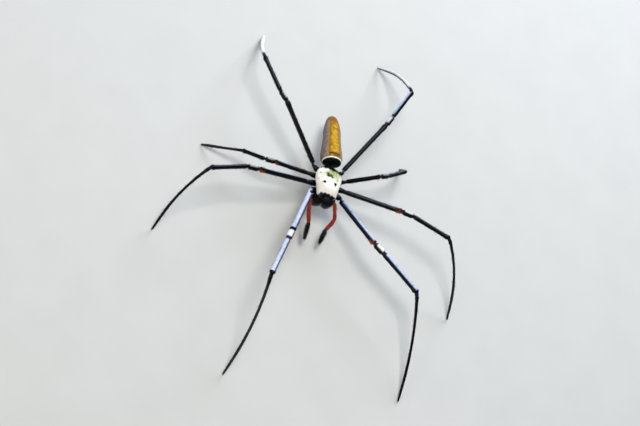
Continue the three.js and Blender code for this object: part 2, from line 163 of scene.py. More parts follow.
# Leg cuticle: tanned exoskeleton, near black and half glossy, with a painted reflection of the sky, pale blue
# on the side towards the sky softbox. Kneecaps carry a painted white highlight, hind feet white partly
# painted glare.
legFinish = {
    # How much painted sky reflection, and the colour it gives.
    "skySheenAndSilver": ((0.0, "#020203"), (0.22, "#0c1224"), (0.46, "#4a6288"), (0.68, "#95a8cf"), (0.92, "#ccd4ec")),
    "pale": "#f2f4fa",
    "ember": "#b5500f",
    "soft": "#100f27",
    "pore": 0.12,  # mm: real pores are near 0.01, drawn coarser so that they show
    "patch": 1.3,  # mm, how the painted sky reflection breaks up
}


def makeLegMaterial():
    f = legFinish
    material, tree, shader = startMaterial("tanned black cuticle", IOR=1.5, Specular_IOR_Level=0.16)
    where = addNode(tree, "TexCoord").outputs["Object"]
    grain = addNode(tree, "TexNoise", links={"Vector": where, "Scale": 1 / (f["pore"] * mm), "Detail": 3.0})
    patch = addNode(tree, "TexNoise", links={"Vector": where, "Scale": 1 / (f["patch"] * mm), "Detail": 4.0})
    spread = {"From Min": 0.3, "From Max": 0.7, "To Min": 0.86, "To Max": 1.08}
    broken = addNode(tree, "MapRange", links={"Value": patch.outputs["Fac"], **spread}).outputs["Result"]
    sheen = addNode(tree, "Attribute", {"attribute_name": "skySheenAndSilver"}).outputs["Fac"]
    share = addNode(tree, "Math", times, {0: sheen, 1: broken}).outputs[0]
    ramp = addNode(tree, "ValToRGB", links={"Fac": share})
    for index, (at, code) in enumerate(f["skySheenAndSilver"]):
        stop = ramp.color_ramp.elements[index] if index < 2 else ramp.color_ramp.elements.new(at)
        stop.position = at
        stop.color = tint(code)
    colour = ramp.outputs["Color"]
    rough = addNode(tree, "MapRange", links={"Value": share, "To Min": 0.26, "To Max": 0.4}).outputs["Result"]
    for name, strength, matt in (("soft", 0.9, 0.6), ("ember", 1.0, 0.6), ("pale", 1.0, 0.5)):
        mask = addNode(tree, "Attribute", {"attribute_name": name}).outputs["Fac"]
        ragged = {"operation": "MULTIPLY", "use_clamp": True}
        amount = addNode(tree, "Math", ragged, {0: mask, 1: broken}).outputs[0]
        amount = addNode(tree, "Math", times, {0: amount, 1: strength}).outputs[0]
        shades = {0: amount, 6: colour, 7: tint(f[name])}
        colour = addNode(tree, "Mix", rgba, shades).outputs[2]
        rough = addNode(tree, "Mix", single, {0: amount, 2: rough, 3: matt}).outputs[0]
    joinShader(tree, shader, colour, rough, (grain.outputs["Fac"], 0.25, 0.02))
    return material


materials["leg"] = makeLegMaterial()


# Bristle: the same cuticle drawn out into fine setae. They blur the edge of the limb and glint a little,
# dark over dark skin and pale where the skin below is pale, so on the legs they carry its painted sky
# reflection and painted highlights too. Drawn two or three times too thick to show.
bristleFinish = {"dark": "#070606", "skySheenAndSilver": "#8f9cbb", "pale": "#e4e7ee", "ember": "#b4602e"}
bristleTones = ("skySheenAndSilver", "pale", "ember")  # what a bristle can carry, laid over each other in this order


def makeBristleMaterial():
    f = bristleFinish
    surface = {"IOR": 1.55, "Roughness": 0.5, "Specular_IOR_Level": 0.12}
    material, tree, shader = startMaterial("dark cuticle bristle", **surface)
    colour = tint(f["dark"])
    for name in bristleTones:
        mask = addNode(tree, "Attribute", {"attribute_name": name}).outputs["Fac"]
        shades = {0: mask, 6: colour, 7: tint(f[name])}
        colour = addNode(tree, "Mix", rgba, shades).outputs[2]
    joinShader(tree, shader, colour)
    return material


materials["bristle"] = makeBristleMaterial()

# Carapace: a thick tanned plate, glossy black where it is bare at the face and rim. Over the rest lies a
# mat of short flattened white hair, which scatters the light and looks chalky, green in patches.
shieldFinish = {
    "shell": "#040404",
    "cream": "#fefdf8",
    "warm": "#fbefe6",
    "moss": "#2d3a00",
    "olive": "#b9c77c",
    "cloud": 2.4,  # mm, how the warm tint drifts
    "speck": 0.5,  # mm, a few hairs side by side
}


def paintShield(name, base, rough, **settings):
    f = shieldFinish
    material, tree, shader = startMaterial(name, IOR=1.55, Roughness=rough, **settings)
    where = addNode(tree, "TexCoord").outputs["Object"]
    cloud = addNode(tree, "TexNoise", links={"Vector": where, "Scale": 1 / (f["cloud"] * mm), "Detail": 3.0})
    speck = addNode(tree, "TexNoise", links={"Vector": where, "Scale": 1 / (f["speck"] * mm), "Detail": 2.0})
    drift = {"From Min": 0.42, "From Max": 0.72, "To Min": 0.0, "To Max": 0.45}
    warm = addNode(tree, "MapRange", links={"Value": cloud.outputs["Fac"], **drift}).outputs["Result"]
    shades = {0: warm, 6: tint(f["cream"]), 7: tint(f["warm"])}
    colour = addNode(tree, "Mix", rgba, shades).outputs[2]
    for mask, code, edge in (("olive", f["olive"], 0.4), ("moss", f["moss"], 0.16)):
        spread = addNode(tree, "Attribute", {"attribute_name": mask}).outputs["Fac"]
        ragged = {0: speck.outputs["Fac"], 1: 0.9, 2: spread}
        broken = addNode(tree, "Math", {"operation": "MULTIPLY_ADD"}, ragged).outputs[0]
        border = {"Value": broken, "From Min": 0.84 - edge, "From Max": 0.84 + edge}
        amount = addNode(tree, "MapRange", {"interpolation_type": "SMOOTHSTEP"}, border).outputs["Result"]
        shades = {0: amount, 6: colour, 7: tint(code)}
        colour = addNode(tree, "Mix", rgba, shades).outputs[2]
    if base:
        covered = addNode(tree, "Attribute", {"attribute_name": "coat"}).outputs["Fac"]
        shades = {0: covered, 6: tint(base), 7: colour}
        colour = addNode(tree, "Mix", rgba, shades).outputs[2]
        dull = addNode(tree, "Mix", single, {0: covered, 2: 0.22, 3: rough}).outputs[0]
        joinShader(tree, shader, colour, dull, (speck.outputs["Fac"], 0.3, 0.05))
    else:
        joinShader(tree, shader, colour)
    return material


shell = shieldFinish["shell"]
materials["shield"] = paintShield("tanned carapace plate", shell, 0.8, Specular_IOR_Level=0.16)
materials["coat"] = paintShield("flattened white hair", None, 0.75, Sheen_Weight=0.4, Sheen_Roughness=0.5)

# Abdomen: soft untanned skin stretched over the gut, so the silver and yellow pigment cells below show
# through it, fine grained and half matt. The front is bare black skin with a cream band behind it.
bellyFinish = {
    "front": (0.3, 6.8, 14.6),  # mm, the middle of the front face
    "rear": (0.3, 31.2, 8.6),
    "black": "#030303",
    "band": "#f1ece2",
    "gold": "#c79b04",
    "deepGold": "#8c6402",
    "amber": "#83500a",
    "ochre": "#84691f",
    "moss": "#594b1a",
    "creaseBrown": "#3c1404",
    "flank": "#a39288",
    "flankDark": "#6a5b50",
    "rose": "#8a6250",
    "under": "#241c16",
    "lung": "#4c3a24",
    "spot": "#a08a3a",
    "silver": "#c2b8ae",
    "cloud": 1.6,  # mm, patches of pigment
    "grain": 0.45,  # mm, the skin's own grain
    "cells": 0.75,  # mm: real pigment cells are near 0.1, drawn coarser so that they show
    "bandAt": 1.15,  # mm behind the front face
    "bandHalf": (0.2, 0.4),  # mm, solid, and faded out
    "stripe": 34.0,  # degrees each side of the middle of the back
    # Each crease's depth in mm, half width in mm and strength.
    "creases": ((3.1, 0.42, 0.92), (7.25, 0.17, 0.55), (10.3, 0.13, 0.3), (12.8, 0.12, 0.2)),
    # Below, on each side of the middle, the lung covers and the rows of spots behind them: depth or
    # half the gap in mm, half length in mm, degrees off the middle and half width in degrees.
    "lungs": (3.9, 1.25, 30.0, 17.0),
    "spots": (2.0, 0.45, 30.0, 8.0),
    "furrow": 5.6,  # mm, the cross furrow behind the lung covers
}
stripe, bandAt = bellyFinish["stripe"], bellyFinish["bandAt"]
# Masks: what each is read from, where it starts and ends, and its value before and after.
# Depth is in mm behind the front face, and angle in degrees from the middle of the back.
bellyMasks = {
    "lighter": ("cloud", 0.35, 0.7, 0.0, 1.0),
    "blotched": ("cloud", 0.5, 0.62, 0.0, 0.5),
    "silvered": ("cells", 0.16, 0.34, 0.0, 0.35),
    "underneath": ("angle", 84.0, 132.0, 0.0, 1.0),
    "overLungs": ("fromLungs", 0.75, 1.1, 1.0, 0.0),
    "spotted": ("fromSpots", 0.5, 1.2, 0.8, 0.0),
    "behindLungs": ("depth", 6.4, 7.0, 0.0, 1.0),
    "beforeTail": ("depth", 17.0, 17.6, 1.0, 0.0),
    "striped": ("angle", stripe - 4, stripe + 12, 1.0, 0.0),
    "deepened": ("cloud", 0.44, 0.66, 0.0, 0.9),
    "flecked": ("fine", 0.6, 0.8, 0.0, 1.0),
    "edged": ("angle", stripe - 20, stripe, 0.0, 1.0),
    "tail": ("tailward", 17.5, 21.0, 0.0, 1.0),
    "onBack": ("angle", stripe - 8, stripe + 4, 1.0, 0.0),
    "nearBand": ("depth", 2.4, 3.4, 0.85, 0.0),
    "mottled": ("cloud", 0.3, 0.52, 0.0, 1.0),
    # Painted shade: a darker band along each flank where it curves down.
    "flankShade": ("angle", 58.0, 74.0, 0.0, 0.45),
    "notBelow": ("angle", 84.0, 104.0, 1.0, 0.0),
    "front": ("depth", bandAt - 0.1, bandAt + 0.15, 1.0, 0.0),
    "banded": ("bandward", *bellyFinish["bandHalf"], 1.0, 0.0),
    "bandStops": ("angle", 96.0, 112.0, 1.0, 0.0),
}
# Colours laid over each other in this order, each where all its masks are on.
bellyLayers = [
    ("flank", "lighter"),
    ("rose", "blotched"),
    ("silver", "silvered"),
    ("under", "underneath"),
    ("lung", "overLungs"),
    ("spot", "spotted", "behindLungs", "beforeTail"),
    ("gold", "striped"),
    ("deepGold", "striped", "deepened"),
    ("amber", "striped", "flecked"),
    ("ochre", "striped", "edged"),
    ("amber", "tail"),
    ("deepGold", "tail", "lighter"),
    ("moss", "nearBand", "mottled", "onBack"),
    # painted shade along the flanks
    ("flankDark", "flankShade", "notBelow"),
    ("black", "front"),
    ("band", "banded", "bandStops"),
    ("moss", "banded", "bandStops", "flecked"),
]
for index, (at, half, strength) in enumerate(bellyFinish["creases"]):
    bellyMasks[f"crease{index}"] = (f"toCrease{index}", half * 0.5, half * 1.6, strength, 0.0)
    # Darker brown painted along each crease across the back, over the carved crease.
    bellyLayers.insert(-4, ("creaseBrown", f"crease{index}", "onBack"))


def makeBellyMaterial():
    f = bellyFinish
    surface = {"IOR": 1.45, "Roughness": 0.5, "Specular_IOR_Level": 0.12}
    material, tree, shader = startMaterial("soft pigmented skin", **surface)
    start, end = place(*f["front"]), place(*f["rear"])
    axis = unit(end - start)
    where = addNode(tree, "TexCoord").outputs["Object"]
    read = {}
    for name, size, detail in (("cloud", f["cloud"], 4.0), ("fine", f["grain"], 3.0)):
        noise = addNode(tree, "TexNoise", links={"Vector": where, "Scale": 1 / (size * mm), "Detail": detail})
        read[name] = noise.outputs["Fac"]
    cells = {"Vector": where, "Scale": 1 / (f["cells"] * mm)}
    read["cells"] = addNode(tree, "TexVoronoi", {"feature": "DISTANCE_TO_EDGE"}, cells).outputs["Distance"]
    offset = addNode(tree, "VectorMath", {"operation": "SUBTRACT"}, {0: where, 1: tuple(start)}).outputs[0]
    along = {0: offset, 1: tuple(axis / mm)}
    read["depth"] = addNode(tree, "VectorMath", {"operation": "DOT_PRODUCT"}, along).outputs["Value"]
    unwrap = addNode(tree, "UVMap", {"uv_map": "OFBake"}).outputs["UV"]
    read["angle"] = addNode(tree, "SeparateXYZ", links={0: unwrap}).outputs["X"]
    # Each sum reads a value, or what an earlier sum made of it.
    sums = [
        ("angle", "MULTIPLY_ADD", "angle", 360.0, -180.0),
        ("angle", "ABSOLUTE", "angle"),
        ("ragged", "MULTIPLY_ADD", "cloud", 22.0, -11.0),
        ("angle", "ADD", "angle", "ragged"),
        ("ragged", "MULTIPLY_ADD", "fine", 0.5, -0.25),
        ("depth", "ADD", "depth", "ragged"),
        ("bandward", "SUBTRACT", "depth", f["bandAt"]),
        ("bandward", "ABSOLUTE", "bandward"),
        ("lag", "MULTIPLY", "angle", 0.05),
        ("tailward", "SUBTRACT", "depth", "lag"),
        ("lump", "MULTIPLY", "fine", 0.5),
        ("height", "MULTIPLY_ADD", "cells", 0.6, "lump"),
        ("below", "SUBTRACT", 180.0, "angle"),
        ("lengthways", "SUBTRACT", "depth", f["lungs"][0]),
        ("fromSpots row", "PINGPONG", "depth", f["spots"][0]),
    ]
    for name, first, (_, long, off, wide) in (
        ("fromLungs", "lengthways", f["lungs"]),
        ("fromSpots", "fromSpots row", f["spots"]),
    ):
        sums += [
            (name + " long", "DIVIDE", first, long),
            (name + " wide", "SUBTRACT", "below", off),
            (name + " wide", "DIVIDE", name + " wide", wide),
            (name, "MULTIPLY", name + " long", name + " long"),
            (name, "MULTIPLY_ADD", name + " wide", name + " wide", name),
        ]
    for index, (at, _, _) in enumerate(f["creases"]):
        sums.append((f"toCrease{index}", "SUBTRACT", "depth", at))
        sums.append((f"toCrease{index}", "ABSOLUTE", f"toCrease{index}"))
    for name, operation, *terms in sums:
        links = {index: read.get(term, term) for index, term in enumerate(terms)}
        read[name] = addNode(tree, "Math", {"operation": operation}, links).outputs[0]
    for name, (source, low, high, before, after) in bellyMasks.items():
        links = {"Value": read[source], "From Min": low, "From Max": high, "To Min": before, "To Max": after}
        mask = addNode(tree, "MapRange", {"interpolation_type": "SMOOTHSTEP"}, links)
        read["mask " + name] = mask.outputs["Result"]
    skin = tint(f["flankDark"])
    for colour, first, *others in bellyLayers:
        share = read["mask " + first]
        for other in others:
            both = {0: share, 1: read["mask " + other]}
            share = addNode(tree, "Math", times, both).outputs[0]
        skin = addNode(tree, "Mix", rgba, {0: share, 6: skin, 7: tint(f[colour])}).outputs[2]
    joinShader(tree, shader, skin, None, (read["height"], 0.35, 0.06))
    return material


materials["belly"] = makeBellyMaterial()


# Plain cuticles, each tanned to its own depth. Dark and light ends of the colour, roughness, grain in
# mm (real grain is near 0.01, drawn coarser so that it shows), specular level and clear coat.
cuticleFinish = {
    "jaw": ("#010101", "#040304", 0.3, 0.15, 0.1, 0.0),  # tanned hardest: deep black with a soft gleam
    "fang": ("#180605", "#3a120c", 0.18, 0.1, 0.5, 0.5),  # as hard, thin at the tip: wet oxblood red
    "palp": ("#7a1205", "#c0300e", 0.38, 0.15, 0.2, 0.03),  # lightly tanned: brick red, clear and waxy
    "palp tip": ("#070607", "#141013", 0.4, 0.12, 0.3, 0.0),  # tanned again at the end: sooty black
    "chest": ("#120d0b", "#2b1d14", 0.38, 0.2, 0.5, 0.0),  # thinner plate: dark brown, evenly glossy
    "spinneret": ("#2a1a10", "#5a3d22", 0.55, 0.15, 0.4, 0.0),  # hardly tanned: matt brown skin
    "eye": ("#030303", "#0a0806", 0.06, 0.4, 0.5, 1.0),  # clear lens over a black cup: one sharp glint
}


def makeCuticle(name):
    dark, light, rough, grain, specular, coat = cuticleFinish[name]
    surface = {"IOR": 1.56, "Specular_IOR_Level": specular, "Coat_Weight": coat}
    material, tree, shader = startMaterial(name + " cuticle", **surface)
    where = addNode(tree, "TexCoord").outputs["Object"]
    cloud = addNode(tree, "TexNoise", links={"Vector": where, "Scale": 1 / (grain * 6 * mm), "Detail": 3.0})
    fine = addNode(tree, "TexNoise", links={"Vector": where, "Scale": 1 / (grain * mm), "Detail": 3.0})
    shades = {0: cloud.outputs["Fac"], 6: tint(dark), 7: tint(light)}
    colour = addNode(tree, "Mix", rgba, shades).outputs[2]
    spread = {"Value": fine.outputs["Fac"], "To Min": rough * 0.75, "To Max": rough * 1.3}
    dull = addNode(tree, "MapRange", links=spread).outputs["Result"]
    joinShader(tree, shader, colour, dull, (fine.outputs["Fac"], 0.3, 0.02))
    return material


for name in cuticleFinish:
    materials[name] = makeCuticle(name)
print("materials made:", len(materials))


def meshArrays(name):  # points and triangles of one of the frame's solids
    mesh = nodes[name].data
    mesh.calc_loop_triangles()
    points = np.array([v.co for v in mesh.vertices])
    faces = np.array([t.vertices for t in mesh.loop_triangles])
    return points, faces


def endsOf(name, near):  # middles of a limb's two ends, the one nearer to a point first
    points, _ = meshArrays(name)
    middle = points.mean(0)
    axis = np.linalg.svd(points - middle, full_matrices=False)[2][0]
    along = (points - middle) @ axis
    reach = max(0.05 * np.ptp(along), 0.4 * mm)
    first = points[along < along.min() + reach].mean(0)
    last = points[along > along.max() - reach].mean(0)
    if np.linalg.norm(first - near) > np.linalg.norm(last - near):
        first, last = last, first
    return first, last


def crossSections(name, start, end, shares):  # centre and radius where planes cut a limb
    points, faces = meshArrays(name)
    way = end - start
    normal = unit(way)
    across = unit(np.cross(normal, worldUp + 0.01))  # never quite along an upright limb
    above = np.cross(across, normal)
    centres, areas = [], []
    for share in shares:
        base = start + way * share
        height = (points - base) @ normal
        hits = []
        for a, b in ((0, 1), (1, 2), (2, 0)):
            ha, hb = height[faces[:, a]], height[faces[:, b]]
            cut = ha * hb < 0
            t = (ha[cut] / (ha[cut] - hb[cut]))[:, None]
            hits.append(points[faces[cut, a]] * (1 - t) + points[faces[cut, b]] * t)
        hits = np.concatenate(hits)
        if len(hits) < 6:
            centres.append(base)
            areas.append(0.0)
            continue
        flat = np.stack([(hits - base) @ across, (hits - base) @ above], 1)
        flat = flat[np.argsort(np.arctan2(*(flat - flat.mean(0)).T))]
        x, y = flat.T
        x2, y2 = np.roll(x, -1), np.roll(y, -1)
        cross = x * y2 - x2 * y
        area = cross.sum() / 2
        middle = np.array([((x + x2) * cross).sum(), ((y + y2) * cross).sum()]) / (6 * area)
        centres.append(base + across * middle[0] + above * middle[1])
        areas.append(abs(area))
    centres = np.array(centres)
    tangent = unit(np.gradient(centres, axis=0))
    radii = np.sqrt(np.array(areas) / math.pi * np.abs(tangent @ normal))
    return centres, radii


def solidTree(name):
    points, faces = meshArrays(name)
    return BVHTree.FromPolygons([Vector(p) for p in points], [tuple(int(i) for i in f) for f in faces])


def wrapSkin(name, design):
    # A smooth closed skin over a blob: rays from an inner line out to the solid's surface. Rings run
    # from front to rear, and each starts under the belly and goes over her right side to the back.
    tree = solidTree(name)
    lengthwise, around = design["lengthwise"], design["around"]
    start, end = place(*design["front"]), place(*design["rear"])
    axis = unit(end - start)
    left = unit(np.cross(axis, worldUp))
    above = np.cross(left, axis)
    rings = np.zeros((lengthwise, around, 3))
    for i in range(lengthwise):
        dip = math.pi * (i + 0.5) / lengthwise
        middle = start + (end - start) * (1 - math.cos(dip)) / 2
        for j in range(around):
            angle = turn * (j / around - 0.5)
            out = (above * math.cos(angle) + left * math.sin(angle)) * math.sin(dip) - axis * math.cos(dip)
            hit = tree.ray_cast(Vector(middle), Vector(out))[0]
            rings[i, j] = hit if hit else middle
    for _ in range(design["smoothed"]):
        sideways = (np.roll(rings, 1, 1) + np.roll(rings, -1, 1)) / 2
        rings = (rings + sideways) / 2
        inner = (rings[:-2] + rings[2:]) / 2
        rings[1:-1] = (rings[1:-1] + inner) / 2
    return rings


def addMesh(name, points, faces, uv, attributes, material):
    mesh = bpy.data.meshes.new(name)
    mesh.from_pydata(points.tolist(), [], faces)
    layer = mesh.uv_layers.new(name="OFBake")
    layer.data.foreach_set("uv", np.asarray(uv, dtype=np.float32).ravel())
    for key, values in attributes.items():
        attribute = mesh.attributes.new(key, "FLOAT", "POINT")
        attribute.data.foreach_set("value", np.asarray(values, np.float32).ravel())
    mesh.materials.append(material)
    mesh.shade_smooth()
    made = bpy.data.objects.new(name, mesh)
    bpy.context.scene.collection.objects.link(made)
    return made


def settle(piece, slot, *replaced):
    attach(piece, "root")
    if replaced:
        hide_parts(*replaced)


def ringFaces(count, around, first=0):  # the quads between rings of points
    here = np.arange((count - 1) * around)
    beside = here - here % around + (here + 1) % around
    return (np.stack([here, beside, beside + around, here + around], 1) + first).tolist()


def ringSkin(name, rings, attributes, finish, slot, *replaced, edge=0.01):
    # Rings of points joined into a closed skin. The unwrap runs round each ring and along the rings,
    # and stops short of its two ends by the edge.
    count, around, _ = rings.shape
    heights = np.linspace(edge, 1 - edge, count)
    ends = np.stack([rings[0].mean(0), rings[-1].mean(0)])
    points = np.concatenate([rings.reshape(-1, 3), ends])
    faces, uv = ringFaces(count, around), []
    for low, high in zip(heights, heights[1:]):
        for j in range(around):
            left, right = j / around, (j + 1) / around
            uv += [(left, low), (right, low), (right, high), (left, high)]
    for row, pole, first in ((0, count * around, 1), (count - 1, count * around + 1, 0)):
        for j in range(around):
            corners = [j + first, j + 1 - first]
            faces.append((pole, *(row * around + corner % around for corner in corners)))
            uv += [(corner / around, heights[row]) for corner in (j + 0.5, *corners)]
    full = {}
    for key, values in attributes.items():
        values = np.broadcast_to(values, (count, around))
        full[key] = np.concatenate([values.ravel(), [values[0].mean(), values[-1].mean()]])
    settle(addMesh(name, points, faces, uv, full, materials[finish]), slot, *replaced)


def scatter(rings, count, rng, accept):
    # Random roots spread evenly over a ringed skin, kept where accept(roots) allows.
    quads = [rings[:-1], np.roll(rings, -1, 1)[:-1], np.roll(rings, -1, 1)[1:], rings[1:]]
    a, b, c, d = (q.reshape(-1, 3) for q in quads)
    area = np.linalg.norm(np.cross(c - a, d - b), axis=1)
    around = rings.shape[1]
    pick = rng.choice(len(area), count, p=area / area.sum())
    s, t = rng.random((2, count, 1))
    a, b, c, d = a[pick], b[pick], c[pick], d[pick]
    point = (a * (1 - s) + b * s) * (1 - t) + (d * (1 - s) + c * s) * t
    row, column = pick // around, pick % around
    heights = np.linspace(0.01, 0.99, len(rings))  # as on the skin's unwrap
    roots = {
        "point": point,
        "normal": unit(np.cross((b - a) + (c - d), (d - a) + (c - b))),
        "along": unit((d - a) + (c - b)),
        "u": (column + s[:, 0]) / around,
        "v": heights[row] * (1 - t[:, 0]) + heights[row + 1] * t[:, 0],
        "row": row + t[:, 0],
    }
    keep = accept(roots)
    return {key: values[keep] for key, values in roots.items()}


def hairMesh(name, roots, rng, style, attributes, slot, finish="bristle"):
    # Each hair is a thin solid spike with a bend, or a flat blade where style["flat"] is set. Its lean is
    # off the skin in degrees, and past the bend it lies down to the share of that named "settle".
    count = len(roots["point"])
    size = rng.uniform(0.7, 1.25, (count, 1))
    length = style["length"] * mm * size
    width = style["width"] * mm * rng.uniform(0.8, 1.2, (count, 1))
    lean = np.radians(style["lean"] + rng.normal(0, style["spread"], (count, 1)) * 0.5)
    swing = np.radians(style.get("swing", 0) + rng.normal(0, style["spread"], (count, 1)))
    across = unit(np.cross(roots["normal"], roots["along"]))
    forward = roots["along"] * np.cos(swing) + across * np.sin(swing)
    rise = roots["normal"]
    base = roots["point"] - rise * 0.04 * mm
    toBend, pastBend = 0.55, 0.45  # shares of the length
    middle = base + (forward * np.cos(lean) + rise * np.sin(lean)) * length * toBend
    flatter = lean * style.get("settle", 0.45)
    tip = middle + (forward * np.cos(flatter) + rise * np.sin(flatter)) * length * pastBend
    side = unit(np.cross(forward, rise)) * width / 2
    patch = 0.0012  # how far each hair reaches out from its root on the unwrap
    if style.get("flat"):
        parts = [base - side, base + side, middle + side * 0.8, middle - side * 0.8, tip]
        shape = [(0, 1, 2), (0, 2, 3), (3, 2, 4)]
        corners = [(-1, -1), (1, -1), (0.8, 0), (-0.8, 0), (0, 1)]
    else:
        proud = unit(np.cross(side, forward)) * width / 2
        parts = [base - side - proud * 0.6, base + side - proud * 0.6, base + proud]
        parts += [middle - side * 0.6, middle + side * 0.6, middle + proud * 0.6, tip]
        shape = [(0, 1, 4), (0, 4, 3), (1, 2, 5), (1, 5, 4), (2, 0, 3), (2, 3, 5)]
        shape += [(3, 4, 6), (4, 5, 6), (5, 3, 6)]
        corners = [(-1, -1), (1, -1), (0, -1), (-0.7, 0), (0.7, 0), (0, 0), (0, 1)]
    points = np.stack(parts, 1)
    points[..., 2] = np.maximum(points[..., 2], 0.03 * mm)
    each = len(parts)
    starts = np.arange(count)[:, None, None] * each
    faces = (np.array(shape)[None] + starts).reshape(-1, 3)
    home = np.stack([np.clip(roots["u"], 0.003, 0.997), np.clip(roots["v"], 0.003, 0.997)], 1)
    spots = home[:, None] + np.array(corners)[None] * patch
    uv = spots[:, np.array(shape).ravel()].reshape(-1, 2)
    full = {key: np.repeat(values, each) for key, values in attributes.items()}
    settle(addMesh(name, points.reshape(-1, 3), faces.tolist(), uv, full, materials[finish]), slot)


def darkBristles(roots):  # no tone of their own
    return {key: np.zeros(len(roots["u"])) for key in bristleTones}


def makeSmoothShading():
    tree = bpy.data.node_groups.new("smooth shading", "GeometryNodeTree")
    for way in ("INPUT", "OUTPUT"):
        tree.interface.new_socket("Geometry", in_out=way, socket_type="NodeSocketGeometry")
    came = addNode(tree, "NodeGroupInput")
    shaded = addNode(tree, "GeometryNodeSetShadeSmooth", links={"Geometry": came.outputs[0]})
    addNode(tree, "NodeGroupOutput", links={0: shaded.outputs[0]})
    return tree


smoothShading = makeSmoothShading()


def sealNode(name, finish):  # a small solid that keeps its shape, rounded off
    solid = nodes[name]
    solid.data.materials.clear()
    solid.data.materials.append(materials[finish])
    weld = solid.modifiers.new("weld", "WELD")
    weld.merge_threshold = 0.005 * mm
    soften = solid.modifiers.new("soften", "SUBSURF")
    soften.levels = soften.render_levels = 2
    solid.modifiers.new("smooth", "NODES").node_group = smoothShading


def makeBlob(name, centre, half, around, finish, slot, roughen=0.0):
    # An egg-shaped closed skin, its poles up and down.
    dips = np.linspace(0.04, math.pi - 0.04, around)
    angle = turn * np.arange(around * 2) / (around * 2)
    dip = dips[:, None]
    height = np.broadcast_to(-np.cos(dip), (around, around * 2))
    out = np.stack([np.sin(dip) * np.sin(angle), np.sin(dip) * np.cos(angle), height], -1)
    wobble = 1 + roughen * np.sin(out[..., :1] * 9 + out[..., 1:2] * 7) * np.sin(out[..., 2:] * 8)
    ringSkin(name, centre + out * np.array(half) * mm * wobble, {}, finish, slot, edge=0.1)


legDesign = {
    "around": 20,
    "ringGap": 0.55,  # mm between rings along a length
    "edge": 0.34,  # mm over which a hard tube turns in at its end
    "turnIn": 0.86,  # what is left of its radius there
    "neck": (0.99, 0.88, 0.86, 0.84),  # each joint skin's radius against the tubes beside it
    "gapRings": (0.2, 0.5, 0.8),  # where that skin gets its rings, as shares of the gap
    "lip": 0.26,  # mm that a tube's upper edge reaches over the joint
    "fullerShaft": {"1": 1.12, "2": 1.04, "3": 1.04, "4": 1.04},  # what short down adds to the radius
    "fullerFoot": {"1": 1.02, "2": 1.04, "3": 1.15, "4": 1.5},  # and thick down on the hind feet
    "fullerTip": {"1": 0.32, "2": 0.32, "3": 0.4, "4": 0.4},  # more of it on the last section
    "tarsusShare": {"1": 0.83, "2": 0.813, "3": 0.727, "4": 0.788},  # where the foot's last section starts
    "hinge": 0.16,  # how much narrower the foot is there
    "hairs": {"1": 2600, "2": 2300, "3": 1500, "4": 2300},
    "hipHairs": 0.4,  # share kept of those that fall on the coxa
    "spiny": (0.08, 0.95),  # shares of a length that spines grow between
    "spines": 90,
    "hair": {"length": 0.62, "width": 0.055, "lean": 24, "spread": 14},  # mm, and degrees off the skin
    "spine": {"length": 1.5, "width": 0.14, "lean": 38, "spread": 8, "settle": 0.8},
}
# How each leg looks: the painted blue sky reflection at both ends of the femur and on the tibia, how far
# it spreads round the leg, the kneecap's painted white highlight, the foot's white, part silvery down and
# part painted glare, the orange skin under the knee, and the painted reflection at the hip of the one leg
# that has it.
legLooks = {
    "left_1": {"skySheenAndSilver": (0.75, 1.0, 1.0), "spread": 0.5, "kneecap": 1.0, "foot": 0.0, "ember": 0.9},
    "left_2": {"skySheenAndSilver": (0.0, 0.75, 0.55), "spread": 0.08, "kneecap": 0.85, "foot": 0.05, "ember": 1.0},
    "left_3": {"skySheenAndSilver": (0.0, 0.3, 0.5), "spread": 0.05, "kneecap": 0.3, "foot": 0.7, "ember": 0.4},
    "left_4": {"skySheenAndSilver": (0.0, 0.3, 0.95), "spread": 0.12, "kneecap": 0.75, "foot": 0.85, "ember": 0.2},
    "right_1": {"skySheenAndSilver": (1.0, 1.0, 1.0), "spread": 0.7, "kneecap": 1.0, "foot": 0.05, "ember": 0.2},
    "right_2": {"skySheenAndSilver": (0.1, 0.85, 0.6), "spread": 0.08, "kneecap": 0.5, "foot": 0.0, "ember": 1.0},
    "right_3": {"skySheenAndSilver": (0.1, 0.8, 0.7), "spread": 0.08, "kneecap": 0.4, "foot": 0.05, "ember": 0.9},
    "right_4": {"skySheenAndSilver": (0.0, 0.1, 0.5), "spread": 0.15, "kneecap": 0.5, "foot": 1.0, "ember": 0.0},
}
legLooks["right_1"]["hip"] = 0.95
legParts = ("coxa", "femur", "patella", "tibia", "foot")


def readLimb(names, near):
    # Centre and radius every so often along each length of a limb, hip to tip.
    lengths = []
    for name in names:
        start, end = endsOf(name, near)
        shares = np.linspace(0.02, 0.98, 41)
        centres, radii = crossSections(name, start, end, shares)
        lengths.append((centres[radii > 0], radii[radii > 0]))
        near = end
    return lengths


def resample(centres, radii, spacing):
    walked = np.concatenate([[0], np.cumsum(np.linalg.norm(np.diff(centres, axis=0), axis=1))])
    total = walked[-1]
    edge = np.array([0, 0.06, 0.14, 0.28]) * mm  # closer together where a tube turns in at its end
    count = max(int(total / (spacing * mm)), 4)
    inside = np.linspace(edge[-1], total - edge[-1], count)
    stops = np.concatenate([edge[:-1], inside, total - edge[:-1][::-1]])
    middle = np.stack([np.interp(stops, walked, centres[:, k]) for k in range(3)], 1)
    return middle, np.interp(stops, walked, radii), stops, total


